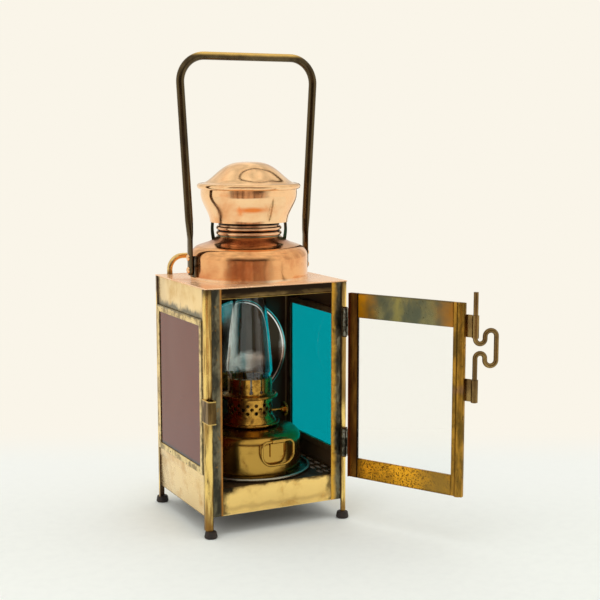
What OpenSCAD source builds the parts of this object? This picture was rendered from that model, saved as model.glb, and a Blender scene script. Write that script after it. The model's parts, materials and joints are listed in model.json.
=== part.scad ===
// Railroad hand lantern: a square brass body with coloured side panes, a copper vent cap,
// a riveted handle, a glazed door with a drop bolt, and an oil lamp inside.
// +Z is up, the origin is on the ground under the middle of the body, and the door side faces -Y.

/* [Body] */
// Width of the body over the corner posts
body_w = 115; // [108:1:130]
// Depth of the body over the corner posts
body_d = 102; // [100:1:120]
// Height of the underside of the roof
roof_z = 181; // [178:1:200]
// Thickness of the roof plate
roof_t = 1; // [0.8:0.1:1.6]
// Thickness of the brass and copper sheet
sheet = 0.8; // [0.6:0.1:1]
// Width of each leg of a corner post
post_leg = 5.2; // [4.5:0.1:6]
// Outer corner radius of a corner post
post_round = 3; // [2:0.1:3.5]
// Height of a rubber foot
foot_h = 5.2; // [4:0.1:8]
// Diameter of a rubber foot
foot_dia = 9.6; // [8:0.1:12]
// Height of the lower edge of the skirts and the sill
skirt_z = 14.9; // [10:0.1:20]
// Height of the skirts
skirt_h = 31.1; // [28:0.1:34]
// Height of the front sill
sill_h = 20.5; // [20:0.1:22]
// Height of the front lintel
lintel_h = 7.4; // [5:0.1:9]
// Width of a door stop strip, from the post's outer face
stop_w = 13.2; // [11:0.1:14]
// Depth of the floor plate's top below the sill's top edge
floor_drop = 1; // [0.8:0.1:2]

/* [Side panes] */
// Height of a glass frame
pane_frame_h = 113.5; // [100:0.5:115]
// Width of the strips of a glass frame
pane_strip = 5; // [4:0.1:6]
// Depth of a glass frame
pane_frame_t = 3.4; // [3.2:0.1:4]
// How far a glass frame stands proud of the posts
pane_proud = 0.7; // [0.3:0.1:1.2]
// Thickness of the coloured glass
pane_t = 2; // [1.5:0.1:2.2]
// Depth of the groove that holds the coloured glass
pane_groove = 3; // [2:0.1:3.5]

/* [Roof and cap] */
// Height of the dome's straight wall
dome_wall = 16.4; // [14:0.1:20]
// Radius of the dome's shoulder
dome_round = 9; // [6:0.5:10]
// Angle of the dome's shoulder
dome_arc = 72; // [65:1:78]
// Radius of the flue hole in the roof
flue_r = 34; // [28:0.5:36]
// Radius of the vent neck
neck_r = 23; // [20:0.1:24]
// Height of the vent neck
neck_h = 24; // [22:0.5:26]
// Radius of the wire of a bead ring
bead_r = 1.5; // [1:0.1:1.7]
// Distance between the two bead rings
bead_pitch = 3.8; // [3.6:0.1:4.5]
// Lower radius of the cap bowl
bowl_r_low = 29.4; // [28.5:0.1:31]
// Upper radius of the cap bowl
bowl_r_top = 36.3; // [34:0.1:38]
// Height of the cap bowl
bowl_h = 24.5; // [22:0.5:28]
// Gap between the dome's top edge and the cap bowl
bowl_lift = 12.8; // [12:0.1:16]
// Height of the lid's dome
lid_h = 16.2; // [12:0.1:20]
// Radius of the lid's rolled rim
rim_r = 2.2; // [1.6:0.1:2.6]
// Turn of the cap straps from the body's width
strap_turn = -25; // [-60:1:60]
// Width of a cap strap
strap_w = 4; // [3:0.1:6]
// Thickness of a cap strap
strap_t = 2.2; // [1:0.1:2.6]

/* [Handle] */
// Diameter of the handle rod
handle_dia = 6; // [5:0.1:7]
// Height of the handle's grip above the roof, at its centre
handle_h = 164.5; // [150:0.5:180]
// How far a leg leans out over its length
handle_lean = 6.2; // [4:0.1:8]
// Bend radius of the handle's corners, at the centre of the rod
handle_bend = 19; // [14:0.5:24]
// Width of a flattened end
tongue_w = 8.5; // [7.5:0.1:10]
// Thickness of a flattened end
tongue_t = 3; // [2.5:0.1:3.4]
// Length of a flattened end
tongue_h = 27; // [25:0.5:32]
// Thickness of a handle lug
lug_t = 2; // [1.6:0.1:2.6]
// Distance between the two rivets of a lug
rivet_pitch = 9.2; // [8:0.1:11]
// Diameter of a rivet's shank
rivet_dia = 3.2; // [2.6:0.1:3.8]
// Diameter of the rear loop's rod
loop_dia = 4.3; // [3.6:0.1:4.6]
// Distance of each foot of the rear loop out from the dome's side
loop_out = 1.6; // [0.5:0.1:3]
// Gap between the rear loop and the dome
loop_gap = 1.7; // [0.5:0.1:2.5]
// Distance of the rear loop in from the body's back
loop_edge = 0.7; // [0.5:0.1:1.2]
// Height of the rear loop above the roof
loop_h = 16; // [14:0.5:20]
// Bend radius of the rear loop, at the centre of the rod
loop_bend = 10.5; // [6:0.5:12]

/* [Door] */
// Width of the door
door_w = 95.7; // [93:0.1:98]
// Height of the door
door_h = 139.2; // [137:0.1:141]
// Thickness of the door
door_t = 4; // [3.6:0.1:4.4]
// Angle at which the door stands open
door_open = 118; // [0:1:180]
// Height of the top rail
top_rail = 18; // [14:0.5:20]
// Height of the bottom rail
bottom_rail = 15; // [12:0.5:18]
// Width of the hinge stile
hinge_stile = 8; // [7:0.1:10]
// Width of the free stile
free_stile = 9; // [8:0.1:11]
// Thickness of the door glass
door_glass_t = 1.6; // [1.2:0.1:1.8]
// Depth of the groove that holds the door glass
door_groove = 4; // [3:0.1:5]
// Radius of a hinge knuckle
knuckle_r = 2; // [1.8:0.1:2.2]
// Radius of a hinge pin
hinge_pin_r = 1; // [0.8:0.05:1.2]
// Length of a hinge
hinge_len = 21; // [18:0.5:26]
// Height of the upper hinge's centre
hinge_high = 151.5; // [140:0.5:155]
// Height of the lower hinge's centre
hinge_low = 60; // [55:0.5:80]

/* [Latch] */
// Radius of the latch bolt's rod
bolt_r = 1.75; // [1.5:0.05:1.9]
// Distance of the latch bolt from the door's free edge
bolt_out = 7.3; // [6.8:0.1:7.8]
// Wall of a latch barrel
barrel_wall = 0.65; // [0.5:0.05:0.75]
// Length of a latch barrel
barrel_len = 16; // [12:0.5:18]
// Height of the upper barrel's lower end
barrel_high = 149.8; // [147:0.1:153]
// Height of the lower barrel's lower end
barrel_low = 104.3; // [102:0.1:107]
// Height of the bolt's top end
bolt_top = 182; // [175:0.5:188]
// Length of the bolt's travel
bolt_travel = 14.5; // [10:0.5:16]
// Radius of the small bends next to the rod
small_bend = 3.5; // [2.8:0.1:4]
// Radius of the finger loop's ends
loop_end = 4.1; // [3:0.1:5]
// Height of the finger loop, between its end bends' centres
finger_h = 16.8; // [12:0.1:18]

/* [Lamp] */
// Radius of the tray
tray_r = 46.4; // [44:0.1:47]
// Radius of the tray's rolled rim
tray_rim = 1.3; // [1:0.1:1.6]
// Radius of the fuel tank
tank_r = 38.6; // [34:0.1:40]
// Height of the fuel tank's straight wall
tank_wall = 24; // [20:0.5:30]
// Radius of the fuel tank's shoulder
tank_round = 7; // [4:0.5:8]
// Rise of the fuel tank's top, from its shoulder to the collar
tank_rise = 3.4; // [2:0.1:5]
// Radius of the burner collar
collar_r = 22.7; // [21:0.1:24]
// Thickness of the burner collar
collar_t = 2; // [1.6:0.1:3]
// Radius of the burner basket
basket_r = 17.2; // [16:0.1:18]
// Height of the burner basket
basket_h = 18; // [16:0.5:20]
// Diameter of the basket's air holes
air_hole = 2.9; // [2:0.1:3]
// Number of air holes in a row
air_count = 16; // [12:1:18]
// Radius of the gallery's bead
gallery_bead = 21.4; // [20:0.1:22]
// Height of the gallery's prongs
prong_h = 12; // [10:0.5:14]
// Number of slots between the prongs
slot_count = 13; // [8:1:14]
// Height of the glass chimney
chimney_h = 76; // [60:1:78]
// Thickness of the chimney's glass
chimney_t = 1.4; // [1:0.1:1.8]
// Width of the wick
wick_w = 12; // [8:0.5:14]
// Thickness of the wick
wick_t = 2.4; // [1.8:0.1:2.8]
// Radius of the wick spindle
spindle_r = 1; // [0.8:0.05:1.2]
// Radius of the spur wheels that raise the wick
spur_r = 4.2; // [3.6:0.1:4.6]
// Distance of the wick knob from the lamp's axis
knob_x = 27.5; // [25:0.1:30]
// Diameter of the wick knob
knob_dia = 10.8; // [9:0.1:12]
// Turn of the pull ring from the front of the tank
ring_turn = 6; // [0:1:20]
// Width of the pull ring
ring_w = 29.5; // [26:0.5:32]
// Height of the pull ring
ring_h = 20; // [16:0.5:22]
// Radius of the pull ring's wire
ring_wire = 0.95; // [0.85:0.05:1.1]
// Radius of the reflector's rim
mirror_r = 40.5; // [38:0.5:43]
// Depth of the reflector's dish
mirror_dip = 8; // [5:0.5:10]
// Height of the reflector's centre
mirror_z = 121.5; // [118:0.5:124]
// Sideways place of the reflector's centre
mirror_x = 1.5; // [0:0.25:4]

/* [Hidden] */
$fn = 64;
arc_steps = 10;
fit = 0.06;
seat = 0.1;
running = 0.3;
wide = 400;
half_w = body_w / 2;
half_d = body_d / 2;
wall_x = half_w - sheet;
wall_y = half_d - sheet;
wall_end_x = half_w - post_round;
wall_end_y = half_d - post_round;
roof_top = roof_z + roof_t;
sill_top = skirt_z + sill_h;
floor_top = sill_top - floor_drop;
skirt_top = skirt_z + skirt_h;
lintel_z = roof_z - lintel_h;
stop_x = half_w - stop_w;
foot_inset = 3.4;
foot_reach = 0.9;
foot_taper = 0.5;
foot_edge = 1.2;

pane_top = skirt_top + pane_frame_h;
pane_half = half_d - post_leg - seat;
pane_x = half_w + pane_proud - pane_frame_t;
groove_x = pane_x + (pane_frame_t - pane_t) / 2;

dome_r = half_d - loop_edge - loop_dia - loop_gap;
shoulder_z = roof_top + dome_wall;
dome_shoulder = [for (i = [0 : arc_steps]) [
    dome_r - dome_round + dome_round * cos(dome_arc * i / arc_steps),
    shoulder_z + dome_round * sin(dome_arc * i / arc_steps)]];
dome_edge = dome_shoulder[arc_steps];
dome_top_r = neck_r + sheet / 2;
dome_top_z = dome_edge[1] + (dome_edge[0] - dome_top_r) / tan(dome_arc);
throat_w = 5;
throat_rise = 2.4;
throat_r = neck_r + throat_w;
throat_end = neck_r + sheet;
throat_top = dome_top_z + throat_rise;
neck_sink = 2;
neck_z = dome_top_z - sheet - neck_sink;
bead_lift = 4.5;
bead_z = dome_top_z + bead_lift;
bowl_z = dome_top_z + bowl_lift;
bowl_collar = 3.5;
bowl_curve = bowl_h - bowl_collar;
lid_z = bowl_z + bowl_h + rim_r + seat;
lid_base_z = lid_z + rim_r - sheet;
lid_lap = sheet / 2;
lid_r = bowl_r_top + lid_lap;
lid_power = 1.6;
lid_steps = 16;
strap_gap = 1.2;
strap_low = neck_r + bead_r + strap_gap;
strap_bulge = 0.6;
strap_lap = 3;
strap_steps = 8;

tongue_x = dome_r + lug_t;
handle_x = tongue_x + tongue_t / 2;
tongue_lift = 4;
tongue_z = roof_top + tongue_lift;
handle_z0 = tongue_z + tongue_h + tongue_lift;
handle_top = roof_top + handle_h;
bend_z = handle_top - handle_bend;
lean_angle = atan2(handle_lean, bend_z - handle_z0);
bend_x = handle_x + handle_lean - handle_bend / cos(lean_angle);
weld_gap = 0.4;
rivet_low = tongue_z + tongue_lift;
rivet_head = 2.4;
rivet_rise = 1.4;
loop_y = half_d - loop_dia / 2 - loop_edge;

door_y = wall_y + running;
door_half = door_w / 2;
door_z = (sill_top + lintel_z - door_h) / 2;
rail_sink = 1;
hinge_inset = 4.3;
hinge_gap = 0.4;
hinge_x = half_w - hinge_inset;
hinge_y = -(half_d + sheet + knuckle_r + hinge_gap);
leaf_y = door_y + door_t;
knuckle_len = hinge_len / 3;
bolt_x = -(door_half + bolt_out);
bolt_sink = 0.5;
bolt_y = -(door_y + door_t - bolt_sink);
bolt_end = 0.3;
bolt_low = barrel_low - bolt_end;
barrel_r = bolt_r + fit + barrel_wall;
bend_gap = 0.6;
upper_bend_z = barrel_high - bend_gap;
upper_leg = 1.7;
lower_leg = 1.4;
finger_top = upper_bend_z + upper_leg;
finger_low = finger_top - finger_h;
lower_bend_z = finger_low + lower_leg;
loop_heading = 225;
far_leg = 2 * small_bend + 2 * loop_end;
bolt_clear = 1.7;
keeper_h = bolt_travel + 2.5;
keeper_z = bolt_low - bolt_clear - keeper_h;
keeper_gap = 0.75;
keeper_right = bolt_x + bolt_r + keeper_gap;
keeper_front = bolt_y - bolt_r - 2 * keeper_gap;

tray_z = floor_top;
tank_z = tray_z + sheet;
tank_shoulder_z = tank_z + tank_wall;
tank_top_z = tank_shoulder_z + tank_round;
collar_z = tank_top_z + tank_rise;
collar_lap = 6;
tank_hole_r = collar_r - collar_lap;
basket_z = collar_z + collar_t;
basket_top = basket_z + basket_h;
bead_half = 2;
bead_height = basket_top + bead_half;
prong_z = bead_height + bead_half;
prong_top = prong_z + prong_h;
slot_w = 1.4;
slot_eye = 1.5;
chimney_r = basket_r - sheet - seat;
chimney_sink = 1.5;
chimney_z = prong_z - chimney_sink;
tube_gap = 0.3;
tube_wall = 0.7;
tube_w = wick_w + 2 * (tube_gap + tube_wall);
tube_t = wick_t + 2 * (tube_gap + tube_wall);
tube_sink = 8;
tube_rise = 3;
tube_low = collar_z - tube_sink;
tube_top = prong_z + tube_rise;
wick_lift = 11;
wick_rise = 7;
wick_low = tank_z + wick_lift;
wick_top = tube_top + wick_rise;
spur_gap = 0.2;
spindle_lift = 7;
spindle_y = -(wick_t / 2 + spur_gap + spur_r);
spindle_z = basket_z + spindle_lift;
spur_w = 2;
spur_x = wick_w / 4;
spur_shift = 1.5;
bearing_wall = 1.5;
bearing_x = -(tube_w / 2 - bearing_wall);
knob_t = 2.6;
ring_lift = 4;
ring_out = 2.6;
ring_axis_z = tank_shoulder_z + ring_lift;
ring_axis_y = -(tank_r + ring_out);
keeper_bar = 11;
ring_tube_wall = 0.7;
ring_tube_r = ring_wire + fit + ring_tube_wall;
mirror_gap = 1.4;
mirror_y = gallery_bead + mirror_gap;
mirror_back = mirror_y + mirror_dip + sheet;
mirror_sphere = (mirror_r * mirror_r + mirror_dip * mirror_dip) / (2 * mirror_dip);

copper = [0.84, 0.52, 0.36];
brass = [0.80, 0.68, 0.38];
old_brass = [0.52, 0.42, 0.20];
dark_bronze = [0.30, 0.25, 0.17];
solder = [0.42, 0.42, 0.38];
rubber = [0.10, 0.08, 0.07];
red_pane = [0.45, 0.16, 0.14];
blue_pane = [0.0, 0.55, 0.62];
clear_pane = [0.85, 0.9, 0.9];
silver = [0.82, 0.84, 0.84];
cotton = [0.9, 0.88, 0.8];

// Box between two opposite corners.
module slab(low, high) {
    translate(low) cube(high - low);
}

// Points of an arc about a centre, from one angle to another.
function arc(centre, r, from, to) = [for (i = [0 : arc_steps])
    centre + r * [cos(from + (to - from) * i / arc_steps), sin(from + (to - from) * i / arc_steps)]];

function reversed(points) = [for (i = [len(points) - 1 : -1 : 0]) points[i]];

// Unit normal to the left of a profile at one of its points.
function left_normal(p, i) =
    let (a = p[max(i - 1, 0)], b = p[min(i + 1, len(p) - 1)], d = (b - a) / norm(b - a)) [-d[1], d[0]];

// A wall of sheet, turned about the axis: the profile is its outer face, followed upwards.
module turned_shell(profile, wall) {
    inner = [for (i = [0 : len(profile) - 1]) profile[i] + wall * left_normal(profile, i)];
    rotate_extrude() polygon(concat(profile, reversed(inner)));
}

// Ring of round wire about the axis.
module wire_ring(ring_r, wire_r) {
    rotate_extrude() translate([ring_r, 0]) circle(r = wire_r);
}

// Round bend of a rod in the XZ plane, about the point (x, z).
module rod_bend(x, z, bend_r, rod_r, from, sweep) {
    translate([x, 0, z]) rotate([90, 0, 0]) rotate([0, 0, from])
        rotate_extrude(angle = sweep) translate([bend_r, 0]) circle(r = rod_r);
}

module both_sides() {
    children();
    mirror([1, 0, 0]) children();
}

// Places what is drawn for the closed door at the angle at which the door stands open.
module on_door() {
    translate([hinge_x, hinge_y, 0]) rotate([0, 0, door_open]) translate([-hinge_x, -hinge_y, 0]) children();
}

module post_profile() {
    translate([-post_leg, -sheet]) square([post_leg - post_round, sheet]);
    translate([-sheet, -post_leg]) square([sheet, post_leg - post_round]);
    translate([-post_round, -post_round]) intersection() {
        difference() {
            circle(r = post_round);
            circle(r = post_round - sheet);
        }
        square(post_round);
    }
}

// Rolled corner post that runs down as a leg; side and front are 1 or -1.
module corner_post(side, front) {
    color(brass) translate([side * half_w, front * half_d, foot_h])
        linear_extrude(roof_z - foot_h) scale_sign(side, front) post_profile();
}

module scale_sign(side, front) {
    mirror([side < 0 ? 1 : 0, 0]) mirror([0, front < 0 ? 1 : 0]) children();
}

module front_left_post() { corner_post(-1, -1); }
module front_right_post() { corner_post(1, -1); }
module back_left_post() { corner_post(-1, 1); }
module back_right_post() { corner_post(1, 1); }

module rubber_feet() {
    color(rubber) for (side = [-1, 1], front = [-1, 1])
        translate([side * (half_w - foot_inset), front * (half_d - foot_reach), 0]) rotate_extrude()
            polygon([[0, 0], [foot_dia / 2 - foot_edge, 0], [foot_dia / 2, foot_edge],
                [foot_dia / 2 - foot_taper, foot_h - foot_edge],
                [foot_dia / 2 - foot_taper - foot_edge, foot_h], [0, foot_h]]);
}

module door_stop() {
    color(old_brass) slab([stop_x, -wall_y, skirt_z], [wall_end_x, sheet - wall_y, roof_z]);
}

module right_door_stop() { door_stop(); }
module left_door_stop() { mirror([1, 0, 0]) door_stop(); }

module front_sill() {
    color(brass) slab([-stop_x, -wall_y, skirt_z], [stop_x, sheet - wall_y, sill_top]);
}

module front_lintel() {
    hem = 1.4;
    color(old_brass) union() {
        slab([-stop_x, -wall_y, lintel_z], [stop_x, sheet - wall_y, roof_z]);
        slab([-stop_x, -wall_y, lintel_z], [stop_x, 2 * sheet - wall_y, lintel_z + hem]);
    }
}

module side_sheet(low, high) {
    color(brass) slab([wall_x - sheet, -wall_end_y, low], [wall_x, wall_end_y, high]);
}

module right_skirt() { side_sheet(skirt_z, skirt_top); }
module left_skirt() { mirror([1, 0, 0]) side_sheet(skirt_z, skirt_top); }
module right_header() { side_sheet(pane_top, roof_z); }
module left_header() { mirror([1, 0, 0]) side_sheet(pane_top, roof_z); }

module back_panel() {
    color(brass) slab([-wall_end_x, wall_y - sheet, skirt_z], [wall_end_x, wall_y, roof_z]);
}

// Floor of the lamp chamber, with air slots beside the tray.
module floor_plate() {
    slot_len = 9;
    slot_r = 1.4;
    slot_rows = 3;
    row_gap = 5;
    slot_pitch = 12;
    slot_reach = 3 * slot_pitch;
    edge_x = wall_x - sheet;
    edge_y = wall_y - sheet;
    slot_x = edge_x - slot_len / 2;
    color(old_brass) difference() {
        slab([-edge_x, -edge_y, floor_top - sheet], [edge_x, edge_y, floor_top]);
        for (side = [-1, 1], row = [0 : slot_rows - 1], y = [-slot_reach : slot_pitch : slot_reach])
            if (norm([slot_x - row * row_gap - slot_len / 2, abs(y)]) > tray_r - slot_len)
                translate([side * (slot_x - row * row_gap), y, floor_top - sheet / 2])
                    linear_extrude(2 * sheet, center = true) {
                        square([2 * slot_r, slot_len - 2 * slot_r], center = true);
                        for (end = [-1, 1])
                            translate([0, end * (slot_len / 2 - slot_r)]) circle(r = slot_r, $fn = 24);
                    }
    }
}

// Folded frame that holds a side pane.
module glass_frame() {
    open_half = pane_half - pane_strip;
    color(brass) difference() {
        slab([pane_x, -pane_half, skirt_top], [pane_x + pane_frame_t, pane_half, pane_top]);
        slab([pane_x - 1, -open_half, skirt_top + pane_strip],
            [half_w + 2, open_half, pane_top - pane_strip]);
        slab([groove_x, -open_half - pane_groove, skirt_top + pane_strip - pane_groove],
            [groove_x + pane_t, open_half + pane_groove, pane_top - pane_strip + pane_groove]);
    }
}

module side_pane() {
    reach = pane_half - pane_strip + pane_groove - seat;
    rim = pane_strip - pane_groove + seat;
    slab([groove_x + seat, -reach, skirt_top + rim], [groove_x + pane_t - seat, reach, pane_top - rim]);
}

module right_glass_frame() { glass_frame(); }
module left_glass_frame() { mirror([1, 0, 0]) glass_frame(); }
module blue_glass() { color(blue_pane) side_pane(); }
module red_glass() { color(red_pane) mirror([1, 0, 0]) side_pane(); }

module roof_plate() {
    inset = 0.4;
    color(copper) difference() {
        slab([inset - half_w, inset - half_d, roof_z], [half_w - inset, half_d - inset, roof_top]);
        translate([0, 0, roof_z]) cylinder(r = flue_r, h = wide, center = true);
    }
}

// Height of the dome's upper slope at a radius, with the throat that rises from it to the neck.
function dome_slope(r) = dome_top_z - (r - dome_top_r) / tan(dome_arc);
function throat_face(r) =
    throat_top - (r - throat_end) * (throat_top - dome_slope(throat_r)) / (throat_r - throat_end);

module dome() {
    throat = [[throat_r, dome_slope(throat_r)], [throat_end, throat_top]];
    color(copper) turned_shell(concat([[dome_r, roof_top]], dome_shoulder, throat), sheet);
}

module vent_neck() {
    color(copper) union() {
        translate([0, 0, neck_z]) difference() {
            cylinder(r = neck_r, h = neck_h);
            cylinder(r = neck_r - sheet, h = wide, center = true);
        }
        for (i = [0, 1]) translate([0, 0, bead_z + i * bead_pitch]) difference() {
            wire_ring(neck_r + 0.3, bead_r);
            cylinder(r = neck_r - sheet / 2, h = wide, center = true);
        }
    }
}

// Point of a cap strap a share s of the way up from the dome to the bowl, a depth t outside its inner face.
function strap_point(s, t) = let (low = strap_low + t, high = bowl_r_low - sheet - 2 * seat - strap_t + t,
    foot = throat_face(low) + seat)
    [low + (high - low) * s + strap_bulge * sin(180 * s), foot + (bowl_z - foot) * s];

// Two bent straps that carry the cap on the dome's throat and lap the inside of the bowl.
module cap_straps() {
    shares = [for (i = [0 : strap_steps]) i / strap_steps];
    outer = [for (s = shares) strap_point(s, strap_t)];
    inner = [for (s = shares) strap_point(s, 0)];
    head = [for (t = [strap_t, 0]) strap_point(1, t) + [0, strap_lap]];
    color(solder) rotate([0, 0, strap_turn]) both_sides() rotate([90, 0, 0])
        linear_extrude(strap_w, center = true) polygon(concat(outer, head, reversed(inner)));
}

// Open bowl whose side swells from its lower rim to its upper one in an S.
module cap_bowl() {
    swell = [for (i = [0 : lid_steps]) let (s = i / lid_steps)
        [bowl_r_low + (bowl_r_top - bowl_r_low) * s * s * (3 - 2 * s), bowl_z + bowl_curve * s]];
    color(copper) turned_shell(concat(swell, [[bowl_r_top, bowl_z + bowl_h]]), sheet);
}

// Height of the lid's outer face at a radius: a flat-topped bell that runs out into the rim.
function lid_face(r) = lid_base_z + sheet + lid_h / 2 * (1 + cos(180 * pow(r / lid_r, lid_power))) - lid_lap;

module cap_lid() {
    outer = [for (i = [0 : lid_steps]) let (r = lid_r * i / lid_steps) [r, lid_face(r)]];
    inner = [for (p = outer) p - [0, sheet]];
    color(copper) union() {
        rotate_extrude() polygon(concat(outer, reversed(inner)));
        translate([0, 0, lid_z]) wire_ring(lid_r, rim_r);
    }
}

// Half of the handle: a flattened end, a leaning leg and a corner bend, with a bead at each weld.
module handle_side() {
    rod_r = handle_dia / 2;
    taper = 8;
    leg_len = norm([handle_lean, bend_z - handle_z0]) - handle_bend * tan(lean_angle);
    difference() {
        translate([tongue_x, 0, tongue_z]) rotate([90, 0, 90]) linear_extrude(tongue_t) {
            translate([0, tongue_w / 2]) circle(d = tongue_w);
            translate([-tongue_w / 2, tongue_w / 2]) square([tongue_w, tongue_h - tongue_w / 2]);
        }
        for (i = [0, 1]) translate([0, 0, rivet_low + i * rivet_pitch])
            rotate([0, 90, 0]) cylinder(d = rivet_dia + 2 * fit, h = wide);
    }
    translate([handle_x, 0, handle_z0]) rotate([0, lean_angle, 0]) {
        translate([0, 0, -taper]) cylinder(r1 = tongue_t / 2 + 0.2, r2 = rod_r, h = taper);
        cylinder(r = rod_r, h = leg_len - weld_gap);
        translate([0, 0, leg_len]) sphere(r = rod_r + fit);
    }
    rod_bend(bend_x, bend_z, handle_bend, rod_r, -lean_angle, 90 + lean_angle);
    translate([bend_x, 0, handle_top]) sphere(r = rod_r + fit);
}

module handle() {
    color(dark_bronze) union() {
        both_sides() handle_side();
        translate([0, 0, handle_top]) rotate([0, 90, 0])
            cylinder(d = handle_dia, h = 2 * (bend_x - weld_gap), center = true);
    }
}

module handle_lugs() {
    color(solder) both_sides() difference() {
        slab([dome_r + fit, -tongue_w / 2, tongue_z - 1.5], [tongue_x, tongue_w / 2, shoulder_z + 2]);
        for (i = [0, 1]) translate([0, 0, rivet_low + i * rivet_pitch])
            rotate([0, 90, 0]) cylinder(d = rivet_dia + 2 * fit, h = wide);
    }
}

module handle_rivets() {
    color(copper) both_sides() for (i = [0, 1]) translate([0, 0, rivet_low + i * rivet_pitch])
        rotate([0, 90, 0]) rotate_extrude()
            polygon(concat([[0, dome_r + 2 * fit], [rivet_dia / 2, dome_r + 2 * fit],
                [rivet_dia / 2, tongue_x + tongue_t], [rivet_head, tongue_x + tongue_t]],
                [for (a = [15 : 15 : 90])
                    [rivet_head * cos(a), tongue_x + tongue_t + rivet_rise * sin(a)]]));
}

module rear_loop() {
    rod_r = loop_dia / 2;
    foot_x = dome_r + loop_out;
    arch_z = roof_top + loop_h - rod_r;
    color(brass) translate([0, loop_y, 0]) union() {
        both_sides() {
            translate([foot_x, 0, roof_top]) cylinder(r = rod_r, h = arch_z - loop_bend - roof_top);
            rod_bend(foot_x - loop_bend, arch_z - loop_bend, loop_bend, rod_r, 0, 90);
        }
        translate([0, 0, arch_z]) rotate([0, 90, 0])
            cylinder(r = rod_r, h = 2 * (foot_x - loop_bend), center = true);
    }
}

// Strap bent round the front left post, which leaves a way for the latch bolt.
module latch_keeper() {
    lap = post_leg - 2 * seat;
    color(brass) union() {
        slab([-half_w - sheet, keeper_front, keeper_z], [-half_w, lap - half_d, keeper_z + keeper_h]);
        slab([-half_w - sheet, keeper_front - sheet, keeper_z],
            [keeper_right + sheet, keeper_front, keeper_z + keeper_h]);
        slab([keeper_right, keeper_front, keeper_z], [keeper_right + sheet, -half_d, keeper_z + keeper_h]);
    }
}

module knuckle(low, high) {
    translate([hinge_x, hinge_y, low]) cylinder(r = knuckle_r, h = high - low);
}

module pin_bore() {
    translate([hinge_x, hinge_y, 0]) cylinder(r = hinge_pin_r + fit, h = wide);
}

module post_hinge_leaves() {
    color(solder) for (z = [hinge_low, hinge_high]) difference() {
        union() {
            slab([half_w - post_leg, -half_d - sheet, z - hinge_len / 2],
                [half_w - 0.3, -half_d, z + hinge_len / 2]);
            for (end = [-1, 1]) let (mid = z + end * knuckle_len) {
                knuckle(mid - knuckle_len / 2, mid + knuckle_len / 2);
                slab([hinge_x - 0.6, hinge_y, mid - knuckle_len / 2],
                    [hinge_x + knuckle_r, -half_d, mid + knuckle_len / 2]);
            }
        }
        pin_bore();
    }
}

module hinge_pins() {
    color(old_brass) for (z = [hinge_low, hinge_high]) translate([hinge_x, hinge_y, z]) union() {
        cylinder(r = hinge_pin_r, h = hinge_len, center = true);
        for (end = [-1, 1]) translate([0, 0, end * (hinge_len + sheet) / 2])
            cylinder(r = hinge_pin_r + 0.6, h = sheet, center = true);
    }
}

module door_hinge_leaves() {
    clear_r = knuckle_r + running + 0.2;
    lap = 6;
    half_knuckle = knuckle_len / 2 - 0.2;
    color(solder) on_door() for (z = [hinge_low, hinge_high]) difference() {
        union() {
            slab([door_half - lap, -leaf_y - sheet, z - hinge_len / 2],
                [hinge_x - clear_r, -leaf_y, z + hinge_len / 2]);
            slab([hinge_x - clear_r - 0.2, -leaf_y - sheet, z - half_knuckle],
                [hinge_x, -leaf_y, z + half_knuckle]);
            knuckle(z - half_knuckle, z + half_knuckle);
        }
        pin_bore();
    }
}

// Box of the door's frame in its closed place; the glass groove runs round the opening.
module door_bar(low_x, high_x, low_z, high_z, inner_y) {
    glass_y = door_y + rail_sink + (door_t - rail_sink - door_glass_t) / 2;
    difference() {
        slab([low_x, -leaf_y, low_z], [high_x, -inner_y, high_z]);
        slab([-door_half + free_stile - door_groove, -glass_y - door_glass_t - seat,
                door_z + bottom_rail - door_groove],
            [door_half - hinge_stile + door_groove, seat - glass_y,
                door_z + door_h - top_rail + door_groove]);
    }
}

module door_top_rail() {
    color(old_brass) on_door() door_bar(-door_half + free_stile, door_half - hinge_stile,
        door_z + door_h - top_rail, door_z + door_h, door_y + rail_sink);
}

module door_bottom_rail() {
    color(old_brass) on_door() door_bar(-door_half + free_stile, door_half - hinge_stile,
        door_z, door_z + bottom_rail, door_y + rail_sink);
}

module door_hinge_stile() {
    color(old_brass) on_door() union() {
        door_bar(door_half - hinge_stile, door_half, door_z, door_z + door_h, door_y + rail_sink);
        slab([door_half - sheet, -door_y - rail_sink, door_z], [door_half, -door_y, door_z + door_h]);
    }
}

module door_free_stile() {
    rib_r = 3;
    rib_x = -door_half + rib_r + 1;
    color(old_brass) on_door() union() {
        door_bar(-door_half, -door_half + free_stile, door_z, door_z + door_h, door_y + rail_sink);
        intersection() {
            translate([rib_x, -door_y - rib_r, door_z]) cylinder(r = rib_r, h = door_h);
            slab([-wide, -door_y - rail_sink, 0], [wide, wide, wide]);
        }
    }
}

module door_glass() {
    glass_y = door_y + rail_sink + (door_t - rail_sink - door_glass_t) / 2;
    reach = door_groove - 2 * seat;
    color(clear_pane) on_door()
        slab([-door_half + free_stile - reach, -glass_y - door_glass_t, door_z + bottom_rail - reach],
            [door_half - hinge_stile + reach, -glass_y, door_z + door_h - top_rail + reach]);
}

module latch_barrels() {
    lap = 5;
    color(old_brass) on_door() for (z = [barrel_low, barrel_high]) difference() {
        union() {
            translate([bolt_x, bolt_y, z]) cylinder(r = barrel_r, h = barrel_len);
            slab([bolt_x, -leaf_y - sheet, z], [lap - door_half, -leaf_y, z + barrel_len]);
        }
        translate([bolt_x, bolt_y, 0]) cylinder(r = bolt_r + fit, h = wide);
    }
}

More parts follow.
